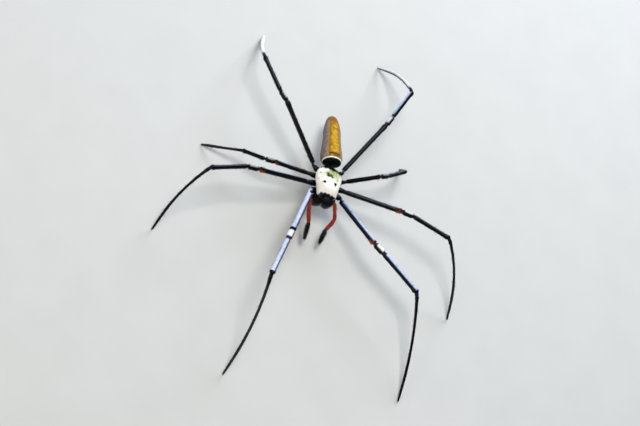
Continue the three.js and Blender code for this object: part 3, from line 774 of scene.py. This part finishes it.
def limbSkin(lengths, design):
    # Rings over a whole limb. Returns them with the length each is on and its share along it.
    turnIn, edge = design["turnIn"], design["edge"] * mm
    stretches = []  # middles, radii, which length, share along it, softness and how far the lip reaches
    for index, (centres, radii) in enumerate(lengths):
        points, widths, stops, total = resample(centres, radii, design["ringGap"])
        tipped = index == len(lengths) - 1
        fromEnd = np.minimum(stops if index else total, total if tipped else total - stops)
        widths = widths * (turnIn + (1 - turnIn) * np.sqrt(np.clip(fromEnd / edge, 0, 1)))
        lip = design["lip"] * mm * smooth(total - 2.0 * mm, total, stops) * (0 if tipped else 1)
        if stretches:  # the soft skin across the gap
            last, lastRadius, _, _, _, lastLip = (part[-1] for part in stretches[-1])
            narrow = design["neck"][index - 1] * min(lastRadius, widths[0]) / turnIn
            gap = np.array(design["gapRings"])
            bridge = last + (points[0] - last) * gap[:, None]
            full = np.ones(len(gap))
            fade = lastLip * (1 - gap) * 0.5
            stretches.append((bridge, full * narrow, full * (index - 0.5), gap, full, fade))
        hard = np.zeros(len(stops))
        stretches.append((points, widths, hard + index, stops / total, hard, lip))
    middle, radius, which, share, soft, reach = (np.concatenate(part) for part in zip(*stretches))
    ahead = np.gradient(middle, axis=0)
    kernel = np.array([1, 2, 3, 2, 1]) / 9
    padded = np.pad(unit(ahead), ((2, 2), (0, 0)), "edge")
    ahead = unit(np.stack([np.convolve(padded[:, k], kernel, "valid") for k in range(3)], 1))
    aside = unit(np.cross(ahead, worldUp))  # towards her head on a left leg, her tail on a right one
    above = np.cross(aside, ahead)
    angle = turn * (np.arange(design["around"]) / design["around"] - 0.5)
    outward = above[:, None] * np.cos(angle)[None, :, None] + aside[:, None] * np.sin(angle)[None, :, None]
    rings = middle[:, None] + outward * radius[:, None, None]
    rings = rings + ahead[:, None] * (reach[:, None] * np.cos(angle))[..., None]
    at = {"which": which, "share": share, "soft": soft, "angle": angle, "middle": middle, "ahead": ahead}
    return rings, at


clawDesign = {
    "size": 0.75,  # mm
    "set": ((-0.32, 1.0), (0.32, 1.0), (0.0, 0.6)),  # each one's lean to the side, and share of the size
    "bend": 1.5,  # radians, from root to tip
    "drop": 2.2,  # the drop is divided by this, so more of it makes a flatter hook
    "thickness": 0.13,  # share of the size, at the root
    "taper": 0.85,  # share of that lost at the tip
    "sides": 8,
    "steps": 9,
}


def makeClaws(name, tip, ahead):
    # Two claws and a small middle hook, curved down to the floor.
    c = clawDesign
    size, bent, around, steps = c["size"] * mm, c["bend"], c["sides"], c["steps"]
    level = unit(ahead * np.array([1, 1, 0]))
    across = np.cross(level, worldUp)
    points, faces = [], []
    for lean, scale in c["set"]:
        for i in range(steps + 1):
            share = i / steps
            bend = share * bent
            out = level * math.sin(bend) / bent + worldUp * (math.cos(bend) - 1) / c["drop"]
            out = out + across * lean * share
            centre = tip + out * size * scale
            thick = size * scale * c["thickness"] * (1 - c["taper"] * share)
            forward = unit(level * math.cos(bend) - worldUp * math.sin(bend) * 0.7)
            rise = np.cross(across, forward)
            for j in range(around):
                angle = turn * j / around
                points.append(centre + (across * math.cos(angle) + rise * math.sin(angle)) * thick)
        first = len(points) - (steps + 1) * around
        faces += ringFaces(steps + 1, around, first)
        faces.append(tuple(first + j for j in reversed(range(around))))
        faces.append(tuple(first + steps * around + j for j in range(around)))
    points = np.array(points)
    points[:, 2] = np.maximum(points[:, 2], 0.03 * mm)
    corners = sum(len(f) for f in faces)
    claws = addMesh(name, points, faces, np.full((corners, 2), 0.5), {}, materials["fang"])
    settle(claws, "black_cuticle")


# Where the markings lie, as shares of the way along one length of the leg, and round it in degrees.
legMarks = {
    "shaft": (0.0, 0.04, 0.955, 0.99),  # the painted sky reflection, on the femur and the tibia
    "thigh": (0.1, 0.7),  # from the near end's painted reflection to the far end's
    "hip": (0.7, 0.9),
    "kneecap": (0.06, 0.2, 0.8, 0.94),
    "foot": (0.03, 0.14),
    "ember": (0.88, 0.95),
    "litSide": 66,  # from the top towards her tail
    "emberSide": 118,  # from the top towards her head
}


def legMasks(which, share, soft, angle, looks, tarsus, rearwards):
    # The markings, ring by ring and round each ring. rearwards is the sign of the angle on the side
    # of the leg that faces her tail, the side where the sky reflection and white highlights are painted.
    top = np.cos(angle)[None]
    m, spread = legMarks, looks["spread"]
    # The more the painted sky reflection spreads, the nearer the top its middle lies and the wider it is
    # round the leg.
    lit = np.cos(angle - rearwards * math.radians(m["litSide"] - 30 * spread))[None]
    upper = smooth(0.62 - 1.5 * spread, 1.12 - 0.12 * spread, lit)
    # Painted highlight on the lit side of the kneecap.
    capHighlight = smooth(0.22 - 0.45 * spread, 0.85 - 0.3 * spread, lit)
    which, share, soft = which[:, None], share[:, None], soft[:, None]
    femur, patella, tibia, foot = (which == k for k in (1, 2, 3, 4))
    shaft = between(m["shaft"], share)
    near, far, shin = looks["skySheenAndSilver"]
    hip = looks.get("hip", 0.0) * ((which == 0) * smooth(*m["hip"], share) + (which == 0.5))
    if "hip" in looks:  # one unbroken painted sky reflection from the hip over the first joint onto the femur
        shaft = np.maximum(shaft, femur * (share < 0.1))
        soft = soft * (1 - 0.9 * (which == 0.5) * upper)
    along = femur * (near + (far - near) * smooth(*m["thigh"], share)) + tibia * shin
    skySheenAndSilver = (hip + along * shaft) * upper
    # The kneecap's white is a painted highlight, strongest on the lit side.
    skySheenAndSilver = skySheenAndSilver + patella * 0.35 * looks["kneecap"] * capHighlight
    pale = patella * looks["kneecap"] * between(m["kneecap"], share) * capHighlight
    footLow = min(max(3.4 - 4 * looks["foot"], -0.6), 0.6)  # the whiter the foot, the further down it goes
    # White along the upper side of the foot: part silvery down, part painted glare.
    pale = pale + foot * looks["foot"] * smooth(*m["foot"], share) * smooth(footLow, footLow + 0.7, top)
    # A painted highlight on the lit side of the joint skin at the hip.
    pale = pale + (which == 0.5) * 0.22 * smooth(0.55, 0.95, lit)
    below = smooth(-0.1, 0.9, np.cos(angle + rearwards * math.radians(m["emberSide"]))[None])
    ember = femur * smooth(*m["ember"], share) * below + (which == 1.5) * below * 0.7
    ember = ember * looks["ember"]
    hinge = bell((share - tarsus) * foot + (1 - foot), 0.006) * foot
    soft = np.clip(soft + hinge * 0.8, 0, 1)
    return {"skySheenAndSilver": skySheenAndSilver, "pale": np.clip(pale, 0, 1), "ember": ember, "soft": soft}


def makeLeg(side, number, rng):
    name = f"leg_{side}_{number}"
    looks = legLooks[f"{side}_{number}"]
    tarsus = legDesign["tarsusShare"][number]
    parts = [f"{name}_{part}" for part in legParts]
    lengths = readLimb(parts, place(0, 0.3, 12))
    rings, at = limbSkin(lengths, legDesign)
    onFoot = at["which"] == 4
    hinge = bell((at["share"] - tarsus), 0.008) * onFoot
    middle = at["middle"][:, None]
    onShaft = (at["which"] > 0) & (at["which"] < 4)
    fuller = 1 + (legDesign["fullerFoot"][number] - 1) * onFoot * smooth(0.02, 0.2, at["share"])
    fuller = fuller + legDesign["fullerTip"][number] * onFoot * smooth(0.25, 0.9, at["share"])
    fuller = np.where(onShaft, legDesign["fullerShaft"][number], fuller)
    rings = middle + (rings - middle) * ((1 - legDesign["hinge"] * hinge) * fuller)[:, None, None]
    rings[..., 2] = np.maximum(rings[..., 2], 0.02 * mm)
    rearwards = -1 if side == "left" else 1
    masks = legMasks(at["which"], at["share"], at["soft"], at["angle"], looks, tarsus, rearwards)
    ringSkin(name, rings, masks, "leg", "black_cuticle", *parts)

    def rowOf(roots):
        return roots["row"].round().astype(int).clip(0, len(rings) - 1)

    def carried(roots):  # the skin's own marks, read where each hair grows
        column = (roots["u"] * legDesign["around"]).astype(int) % legDesign["around"]
        full = {key: np.broadcast_to(masks[key], rings.shape[:2]) for key in bristleTones}
        return {key: values[rowOf(roots), column] for key, values in full.items()}

    def hairy(roots):
        row = rowOf(roots)
        kept = rng.random(len(row)) < legDesign["hipHairs"]
        return (at["soft"][row] < 0.5) & ((at["which"][row] > 0) | kept)

    def spiny(roots):
        row = rowOf(roots)
        on, share = at["which"][row], at["share"][row]
        first, last = legDesign["spiny"]
        return np.isin(on, (1, 3, 4)) & (share > first) & (share < np.where(on == 4, tarsus, last))

    roots = scatter(rings, legDesign["hairs"][number], rng, hairy)
    hairMesh(name + "_hair", roots, rng, legDesign["hair"], carried(roots), "black_cuticle")
    roots = scatter(rings, legDesign["spines"], rng, spiny)
    # Spines carry only the white under them: silvery down and painted highlights.
    tone = {key: value * (key == "pale") for key, value in carried(roots).items()}
    hairMesh(name + "_spines", roots, rng, legDesign["spine"], tone, "black_cuticle")
    makeClaws(name + "_claws", at["middle"][-1], at["ahead"][-1])


for side, _ in sides:
    for number in ("1", "2", "3", "4"):
        makeLeg(side, number, np.random.default_rng(10 * int(number) + (side == "left")))
print("legs made")

palpDesign = dict(legDesign, ringGap=0.25, edge=0.22, neck=(0.84, 0.84), lip=0.14, hairs=700)
palpBase = {"at": (4.0, -6.75, 11.75), "half": (0.95, 1.15, 1.2)}  # mm, the dark ring that it turns on


def makePalp(side, sign, rng):
    parts = [f"palp_{side}_{part}" for part in ("femur", "tibia", "tarsus")]
    lengths = readLimb(parts, place(0, -5, 10.5))
    rings, at = limbSkin(lengths, palpDesign)
    split = int(np.argmax(at["which"] >= 1.5))
    for name, rows, finish, slot, replaced in (
        (f"palp_{side}", slice(0, split + 2), "palp", "red_cuticle", parts[:2]),
        (f"palp_{side}_tip", slice(split, None), "palp tip", "black_cuticle", parts[2:]),
    ):
        ringSkin(name, rings[rows], {}, finish, slot, *replaced)
        roots = scatter(rings[rows], palpDesign["hairs"], rng, lambda r: r["v"] > 0.05)
        thick = 1.0 if finish == "palp" else 1.5
        style = {"length": 0.75 * thick, "width": 0.06, "lean": 32, "spread": 14}
        rusty = (rng.random(len(roots["u"])) < 0.6) * (0.5 if finish == "palp" else 0.0)
        tone = dict(darkBristles(roots), ember=rusty)
        hairMesh(name + "_hair", roots, rng, style, tone, slot)
    x, y, z = palpBase["at"]
    makeBlob(f"palp_{side}_base", place(sign * x, y, z), palpBase["half"], 20, "jaw", "black_cuticle")


for side, sign in sides:
    makePalp(side, sign, np.random.default_rng(60 + (side == "left")))
print("palps made")

shield = {
    "front": (0, -7.0, 14.9),  # mm, the inner line that the skin is wrapped from
    "rear": (0, 4.4, 14.6),
    "lengthwise": 96,  # points along the skin and round it
    "around": 128,
    "smoothed": 3,  # how often the points are evened out
    "coatFront": -6.65,  # mm, where the white coat stops behind the face
    "coatRear": 4.0,  # and before the bare slope down to the waist
    "coatLow": (13.75, 14.15),  # mm, where it thins out above the rim
    "tongue": (3.75, 0.45, 0.75),  # mm, on each side: how far out, half width and length
    "midTongue": (0.9, 0.6, 0.35),  # mm, on her left alone
    "corner": (2.6, 4.2, 1.0),  # mm, on her left, where the coat comes further forward
    "marks": (  # place and half size in mm, how dark, how green, and its twin's share of that
        ((-0.4, 1.4), (1.25, 0.75), 1.15, 0.8, 0.0),
        ((0.85, 0.65), (0.5, 0.45), 1.0, 0.6, 0.4),
        ((-1.35, 2.3), (0.6, 0.3), 0.6, 0.7, 0.5),
        ((0.5, 2.7), (2.2, 1.0), 0.0, 0.42, 0.0),
        ((2.4, 1.6), (1.7, 1.5), 0.0, 0.52, 0.3),
        ((3.2, -0.6), (1.0, 1.2), 0.0, 0.3, 0.2),
        ((-4.1, 1.85), (0.5, 0.24), 0.8, 0.2, 0.7),
        ((3.55, 1.15), (0.5, 0.32), 0.5, 0.4, 0.6),
        ((3.25, 0.1), (0.6, 0.26), 0.45, 0.25, 0.5),
        ((-4.5, -1.0), (0.3, 0.5), 0.35, 0.1, 1.0),
        ((0.8, -1.9), (0.22, 0.4), 0.32, 0.1, 1.0),
        ((-2.65, -2.3), (0.5, 0.34), 1.1, 0.0, 0.0),
        ((-2.2, -1.75), (0.42, 0.28), 1.0, 0.0, 0.0),
        ((2.0, -2.0), (0.34, 0.42), 1.0, 0.0, 0.0),
        ((2.15, -2.75), (0.36, 0.5), 1.1, 0.0, 0.0),
        ((3.1, -4.4), (0.7, 0.22), 0.3, 0.1, 1.0),
    ),
    "hairs": 24000,
    # Real hairs are near 0.02 mm wide, and each of these stands for a few side by side.
    "hair": {"length": 0.55, "width": 0.1, "lean": 16, "spread": 24, "flat": True, "settle": 0.2},
    "faceHairs": 2500,
    "faceHair": {"length": 0.7, "width": 0.05, "lean": 35, "spread": 16},
}


def shieldMasks(points):
    x, y, z = ((points - origin) / mm).transpose(2, 0, 1)
    wide = np.abs(x)
    ragged = 0.16 * np.sin(x * 4.1 + 1.0) + 0.12 * np.sin(x * 9.3 + y * 2.0)
    # The coat's front edge is ragged, with a tongue on each side, one near the middle, and a longer
    # corner on her left.
    front = shield["coatFront"] - 0.08 * x + ragged
    for across, (at, half, length) in ((wide, shield["tongue"]), (x, shield["midTongue"])):
        front = front - length * bell(across - at, half)
    begins, ends, length = shield["corner"]
    front = front - length * smooth(begins, ends, x)
    rear = shield["coatRear"] - 0.13 * x + ragged * 1.2
    coat = smooth(front - 0.22, front + 0.22, y) * smooth(rear + 0.3, rear - 0.2, y)
    coat = coat * smooth(*shield["coatLow"], z)
    margin = smooth(-1.6, 0.8, x)  # the green follows the left half of the rear edge
    moss = 1.0 * bell(np.minimum(y - rear, 0), 0.5) * margin
    olive = 0.75 * bell(np.minimum(y - rear, 0), 1.1) * margin
    for at, half, dark, green, twin in shield["marks"]:
        for side, share in ((1, 1.0), (-1, twin)):
            spot = share * bell(np.hypot((x - side * at[0]) / half[0], (y - at[1]) / half[1]), 1.0)
            moss = moss + spot * dark
            olive = olive + spot * green
    return {"coat": coat, "moss": np.clip(moss, 0, 1), "olive": np.clip(olive, 0, 1)}


shieldRelief = {
    "dent": 2.0,  # mm, how far back the dent lies that the furrows run out from
    "furrows": (48, 78, 108, 138),  # degrees from straight ahead, on each side
    "halfWidth": 7.0,  # degrees
    "reach": (0.8, 1.8, 4.0, 5.4),  # mm from the dent
    "depth": 0.16,  # mm
    "above": 14.6,  # mm, clear of the rim
    "mound": (-7.3, 1.1, 0.12),  # mm, under the middle eyes: place, half width and height
}


def carveShield(rings):
    # Furrows that run out from the dent in the middle of the chest, between the muscle swellings.
    relief = shieldRelief
    x, y, z = ((rings - origin) / mm).transpose(2, 0, 1)
    heading = np.degrees(np.arctan2(np.abs(x), -(y - relief["dent"])))
    away = np.hypot(x, y - relief["dent"])
    furrow = sum(bell(heading - at, relief["halfWidth"]) for at in relief["furrows"])
    depth = relief["depth"] * furrow * between(relief["reach"], away) * (z > relief["above"])
    at, half, height = relief["mound"]
    swell = height * bell(np.hypot(x, y - at), half)
    rings = rings.copy()
    rings[..., 2] += (swell - depth) * mm
    return rings


def makeCarapace(rng):
    rings = carveShield(wrapSkin("carapace", shield))
    ringSkin("carapace_skin", rings, shieldMasks(rings), "shield", "white_coat", "carapace")

    def marksAt(roots):
        return {key: values[0] for key, values in shieldMasks(roots["point"][None]).items()}

    def coated(roots):
        here = marksAt(roots)
        bare = np.clip(here["moss"] * 1.1 - 0.15, 0, 0.85)
        return rng.random(len(roots["u"])) < here["coat"] * (1 - bare)

    def onFace(roots):
        return (marksAt(roots)["coat"] < 0.3) & (roots["point"][:, 2] > origin[2] + 14.3 * mm)

    roots = scatter(rings, shield["hairs"], rng, coated)
    hairMesh("carapace_coat", roots, rng, shield["hair"], marksAt(roots), "white_coat", "coat")
    roots = scatter(rings, shield["faceHairs"], rng, onFace)
    roots["along"] = -roots["along"]
    hairMesh("face_hair", roots, rng, shield["faceHair"], darkBristles(roots), "black_cuticle")
    return rings


horn = {
    "x": 2.2,  # mm, as are the next four
    "y": -2.1,
    "height": 0.85,
    "radius": 0.6,
    "rooted": 0.4,  # under the skin
    "lean": (0.16, -0.1, 1.0),  # outward, forward and up
    "hook": 0.15,  # mm that the tip bends forward
    "rings": 14,
    "around": 16,
}
eyes = {
    # Each pair's place and radius in mm.
    "pairs": ((0.55, -8.15, 0.42), (0.62, -7.1, 0.38), (3.05, -7.95, 0.35), (3.35, -7.2, 0.35)),
    "sunk": 0.42,  # share of the radius that the middle lies under the skin
}


def dropOnto(tree, x, y):  # where a line straight down meets a skin, and the skin's normal there
    hit, normal, _, _ = tree.ray_cast(Vector(place(x, y, 30)), Vector((0, 0, -1)))
    return np.array(hit), np.array(normal)


def makeHorns(tree):
    height, radius = horn["height"], horn["radius"]
    for label, side in sides:
        foot, _ = dropOnto(tree, side * horn["x"], horn["y"])
        shares = np.linspace(0, 1, horn["rings"])
        up = np.array(horn["lean"]) * (side, 1, 1)
        centres = foot - worldUp * horn["rooted"] * mm + shares[:, None] * unit(up) * height * mm
        centres[:, 1] -= (shares**2) * horn["hook"] * mm
        radii = (radius * (1 - shares**1.6) ** 0.7 + 0.03) * mm
        angle = turn * np.arange(horn["around"]) / horn["around"]
        rim = np.stack([np.sin(angle), np.cos(angle), 0 * angle], 1)
        rings = centres[:, None] + rim[None] * radii[:, None, None]
        ringSkin(f"horn_{label}", rings, {}, "jaw", "black_cuticle", edge=0.1)


def makeEyes(tree):
    for row, (x, y, radius) in enumerate(eyes["pairs"]):
        for label, side in sides:
            hit, normal = dropOnto(tree, side * x, y)
            centre = hit - normal * radius * eyes["sunk"] * mm
            makeBlob(f"eye_{label}_{row + 1}", centre, (radius,) * 3, 16, "eye", "black_cuticle")


shieldRings = makeCarapace(np.random.default_rng(71))
shieldPoints = [Vector(p) for p in shieldRings.reshape(-1, 3)]
shieldTree = BVHTree.FromPolygons(shieldPoints, ringFaces(*shieldRings.shape[:2]))
makeHorns(shieldTree)
makeEyes(shieldTree)
print("carapace made")

jaw = {
    "front": (2.1, -7.9, 12.2),  # mm, the inner line that the skin is wrapped from
    "rear": (2.2, -8.0, 8.6),
    "lengthwise": 48,
    "around": 56,
    "smoothed": 2,
    "cheek": 0.35,  # mm, the swell on the outer side
    "gap": 0.03,  # mm, from each jaw to the middle where they nearly meet
    "hairs": 900,
    "hair": {"length": 0.8, "width": 0.055, "lean": 38, "spread": 14},
}


def makeJaw(side, sign, rng):
    line = {key: (sign * jaw[key][0], *jaw[key][1:]) for key in ("front", "rear")}
    rings = wrapSkin(f"chelicera_{side}", dict(jaw, **line))
    out = jaw["front"][0]
    apart = (rings[..., 0] - origin[0]) * sign / mm
    nearest = apart.min(1, keepdims=True)
    inner = np.clip((out - apart) / (out - nearest), 0, 1)
    share = np.linspace(0, 1, len(rings))[:, None]
    # The inner faces swell until they nearly meet, all the way from the top, and less towards the fangs.
    closing = smooth(0.02, 0.12, share) * (1 - 0.85 * smooth(0.5, 0.9, share))
    rings[..., 0] -= sign * inner**2 * closing * (nearest - jaw["gap"]) * mm
    outer = np.clip((apart - out) / (apart.max(1, keepdims=True) - out), 0, 1)
    rings[..., 0] += sign * outer**1.5 * jaw["cheek"] * mm * np.sin(np.pi * share**0.8)
    ringSkin(f"chelicera_{side}_skin", rings, {}, "jaw", "black_cuticle", f"chelicera_{side}")
    roots = scatter(rings, jaw["hairs"], rng, lambda r: (r["v"] > 0.15) & (r["normal"][:, 1] < 0.2))
    hairMesh(f"chelicera_{side}_hair", roots, rng, jaw["hair"], darkBristles(roots), "black_cuticle")


for side, sign in sides:
    makeJaw(side, sign, np.random.default_rng(80 + sign))
    sealNode(f"fang_{side}", "fang")
    sealNode(f"maxilla_{side}", "chest")
print("jaws made")

chest = {"front": (0, -2.6, 12.0), "rear": (0, 3.4, 12.0), "lengthwise": 44, "around": 56, "smoothed": 3}
ringSkin("chest_plate", wrapSkin("sternum", chest), {}, "chest", "dark_skin", "sternum")
sealNode("pedicel", "chest")
sealNode("spinnerets", "spinneret")


# The wrinkled swelling that the spinnerets grow from. The half size and the drop below their top are
# in mm, and the wrinkles are a share of the half size.
mound = {"half": (1.25, 1.35, 0.8), "drop": 0.25, "wrinkle": 0.04, "around": 24}


def makeSpinneretMound():
    low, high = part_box("spinnerets")
    centre = np.array([(low.x + high.x) / 2, (low.y + high.y) / 2, high.z - mound["drop"] * mm])
    around, wrinkle = mound["around"], mound["wrinkle"]
    makeBlob("spinneret_mound", centre, mound["half"], around, "spinneret", "dark_skin", wrinkle)


makeSpinneretMound()
print("underside made")

belly = {
    "front": (0.3, 9.9, 13.9),
    "rear": (0.3, 28.2, 9.3),
    "lengthwise": 128,
    "around": 112,
    "smoothed": 4,
    "pits": ((6.4, 15), (9.2, 17), (12.2, 18), (15.4, 19)),  # mm behind the front, degrees off the middle
    "pit": (0.14, 0.5, 6.5),  # depth and half length in mm, half width in degrees
    "pitLine": (0.05, 0.45),  # mm, the shallow line across between two pits: depth and half length
    "crease": 0.12,  # mm, the depth of the strongest
    "folds": (0.07, 14),  # depth in mm, and how many round the skin
    "foldsFrom": (2.2, 4),  # mm behind the front
    "collar": (1.7, 0.1, 0.3),  # mm, the groove behind the band: place, depth and half length
    "furrow": (0.16, 0.35),  # mm, the cross furrow below: depth and half length
    # Where each fades, from none of it to all, in degrees off the middle of the back.
    "fades": {"pitLine": (70, 30), "crease": (62, 34), "folds": (40, 80), "furrow": (105, 130)},
    "silvery": (110, 80),  # and the silvery down on the flanks
    "hairs": 5000,
    "hair": {"length": 0.42, "width": 0.035, "lean": 30, "spread": 14},
}


def carveBelly(rings):
    start, end = place(*bellyFinish["front"]), place(*bellyFinish["rear"])
    axis = unit(end - start)
    depth = ((rings - start) @ axis) / mm
    angle = 360 * (np.arange(rings.shape[1]) / rings.shape[1] - 0.5)[None]
    shown = {key: smooth(*fade, np.abs(angle)) for key, fade in belly["fades"].items()}
    inward = np.zeros(depth.shape)
    for at, aside in belly["pits"]:
        deep, long, wide = belly["pit"]
        for side in (-1, 1):
            inward += deep * bell(np.hypot((depth - at) / long, (angle - side * aside) / wide), 1.0)
        deep, long = belly["pitLine"]
        inward += deep * bell(depth - at, long) * shown["pitLine"]
    for at, half, strength in bellyFinish["creases"]:
        inward += belly["crease"] * strength * bell(depth - at, half * 1.3) * shown["crease"]
    deep, count = belly["folds"]
    folds = np.sin(np.radians(angle) * count + np.sin(depth * 0.6)) * 0.5 + 0.5
    inward += deep * folds * shown["folds"] * smooth(*belly["foldsFrom"], depth)
    at, deep, long = belly["collar"]
    inward += deep * bell(depth - at, long)
    deep, long = belly["furrow"]
    inward += deep * bell(depth - bellyFinish["furrow"], long) * shown["furrow"]
    centre = start + axis * depth[..., None] * mm
    return rings - unit(rings - centre) * inward[..., None] * mm


def makeAbdomen(rng):
    rings = carveBelly(wrapSkin("abdomen", belly))
    ringSkin("abdomen_skin", rings, {}, "belly", "banded_skin", "abdomen")
    roots = scatter(rings, belly["hairs"], rng, lambda r: r["u"] >= 0)
    axis = unit(place(*belly["rear"]) - place(*belly["front"]))
    behind = (roots["point"] - place(*bellyFinish["front"])) @ axis
    downy = smooth(bellyFinish["bandAt"] - 0.2, bellyFinish["bandAt"], behind / mm)
    off = np.abs(360 * roots["u"] - 180)  # degrees from the middle of the back
    golden = downy * (off < bellyFinish["stripe"])
    silvery = (downy - golden) * smooth(*belly["silvery"], off)
    # On the abdomen these are the hairs' own colours: silvery down on the flanks, gold on the stripe.
    tone = {"skySheenAndSilver": silvery * 0.2, "pale": silvery * 0.35, "ember": golden * 0.9}
    hairMesh("abdomen_hair", roots, rng, belly["hair"], tone, "banded_skin")


makeAbdomen(np.random.default_rng(91))
print("abdomen made")

studio = {
    "floor": "#cfd1cf",
    "floorGrain": "#c8cac8",
    "floorSize": 3.0,  # m
    "lights": (
        # name, direction from her, distance m, width m, height m, watts, colour
        ("sky softbox", (0.34, 0.82, 0.46), 0.75, 0.4, 0.3, 4.8, "#e6eeff"),
        ("overhead softbox", (-0.05, 0.15, 1.0), 0.8, 0.3, 0.3, 4.4, "#fffdf8"),
        ("front fill", (-0.75, -0.6, 0.4), 0.9, 0.5, 0.4, 1.8, "#fff6ec"),
    ),
    "ambient": ("#f1f3f6", 0.24),
}


def makeFloorMaterial():  # matt painted board: pale, with only a trace of grain
    material, tree, shader = startMaterial("matt painted board", Roughness=0.9, IOR=1.45)
    where = addNode(tree, "TexCoord").outputs["Object"]
    grain = addNode(tree, "TexNoise", links={"Vector": where, "Scale": 60.0, "Detail": 2.0})
    shades = {0: grain.outputs["Fac"], 6: tint(studio["floor"]), 7: tint(studio["floorGrain"])}
    joinShader(tree, shader, addNode(tree, "Mix", rgba, shades).outputs[2])
    return material


def makeStudio():
    half = studio["floorSize"] / 2
    points = np.array([(-half, -half, 0), (half, -half, 0), (half, half, 0), (-half, half, 0)], float)
    points[:, 2] = -0.02 * mm
    unwrap = [(0, 0), (1, 0), (1, 1), (0, 1)]
    board = addMesh("floor", points, [(0, 1, 2, 3)], unwrap, {}, makeFloorMaterial())
    target = Vector(place(*camera["target"]))
    for name, direction, distance, width, height, watts, colour in studio["lights"]:
        lamp = bpy.data.lights.new(name, "AREA")
        lamp.shape = "RECTANGLE"
        lamp.size, lamp.size_y = width, height
        lamp.energy = watts
        lamp.color = tint(colour)[:3]
        holder = bpy.data.objects.new(name, lamp)
        bpy.context.scene.collection.objects.link(holder)
        away = Vector(direction).normalized()
        holder.location = target + away * distance
        holder.rotation_euler = away.to_track_quat("Z", "Y").to_euler()
    world = bpy.data.worlds.new("studio")
    bpy.context.scene.world = world
    world.use_nodes = True
    shade = world.node_tree.nodes["Background"]
    shade.inputs["Color"].default_value = tint(studio["ambient"][0])
    shade.inputs["Strength"].default_value = studio["ambient"][1]


makeStudio()
print("studio made")
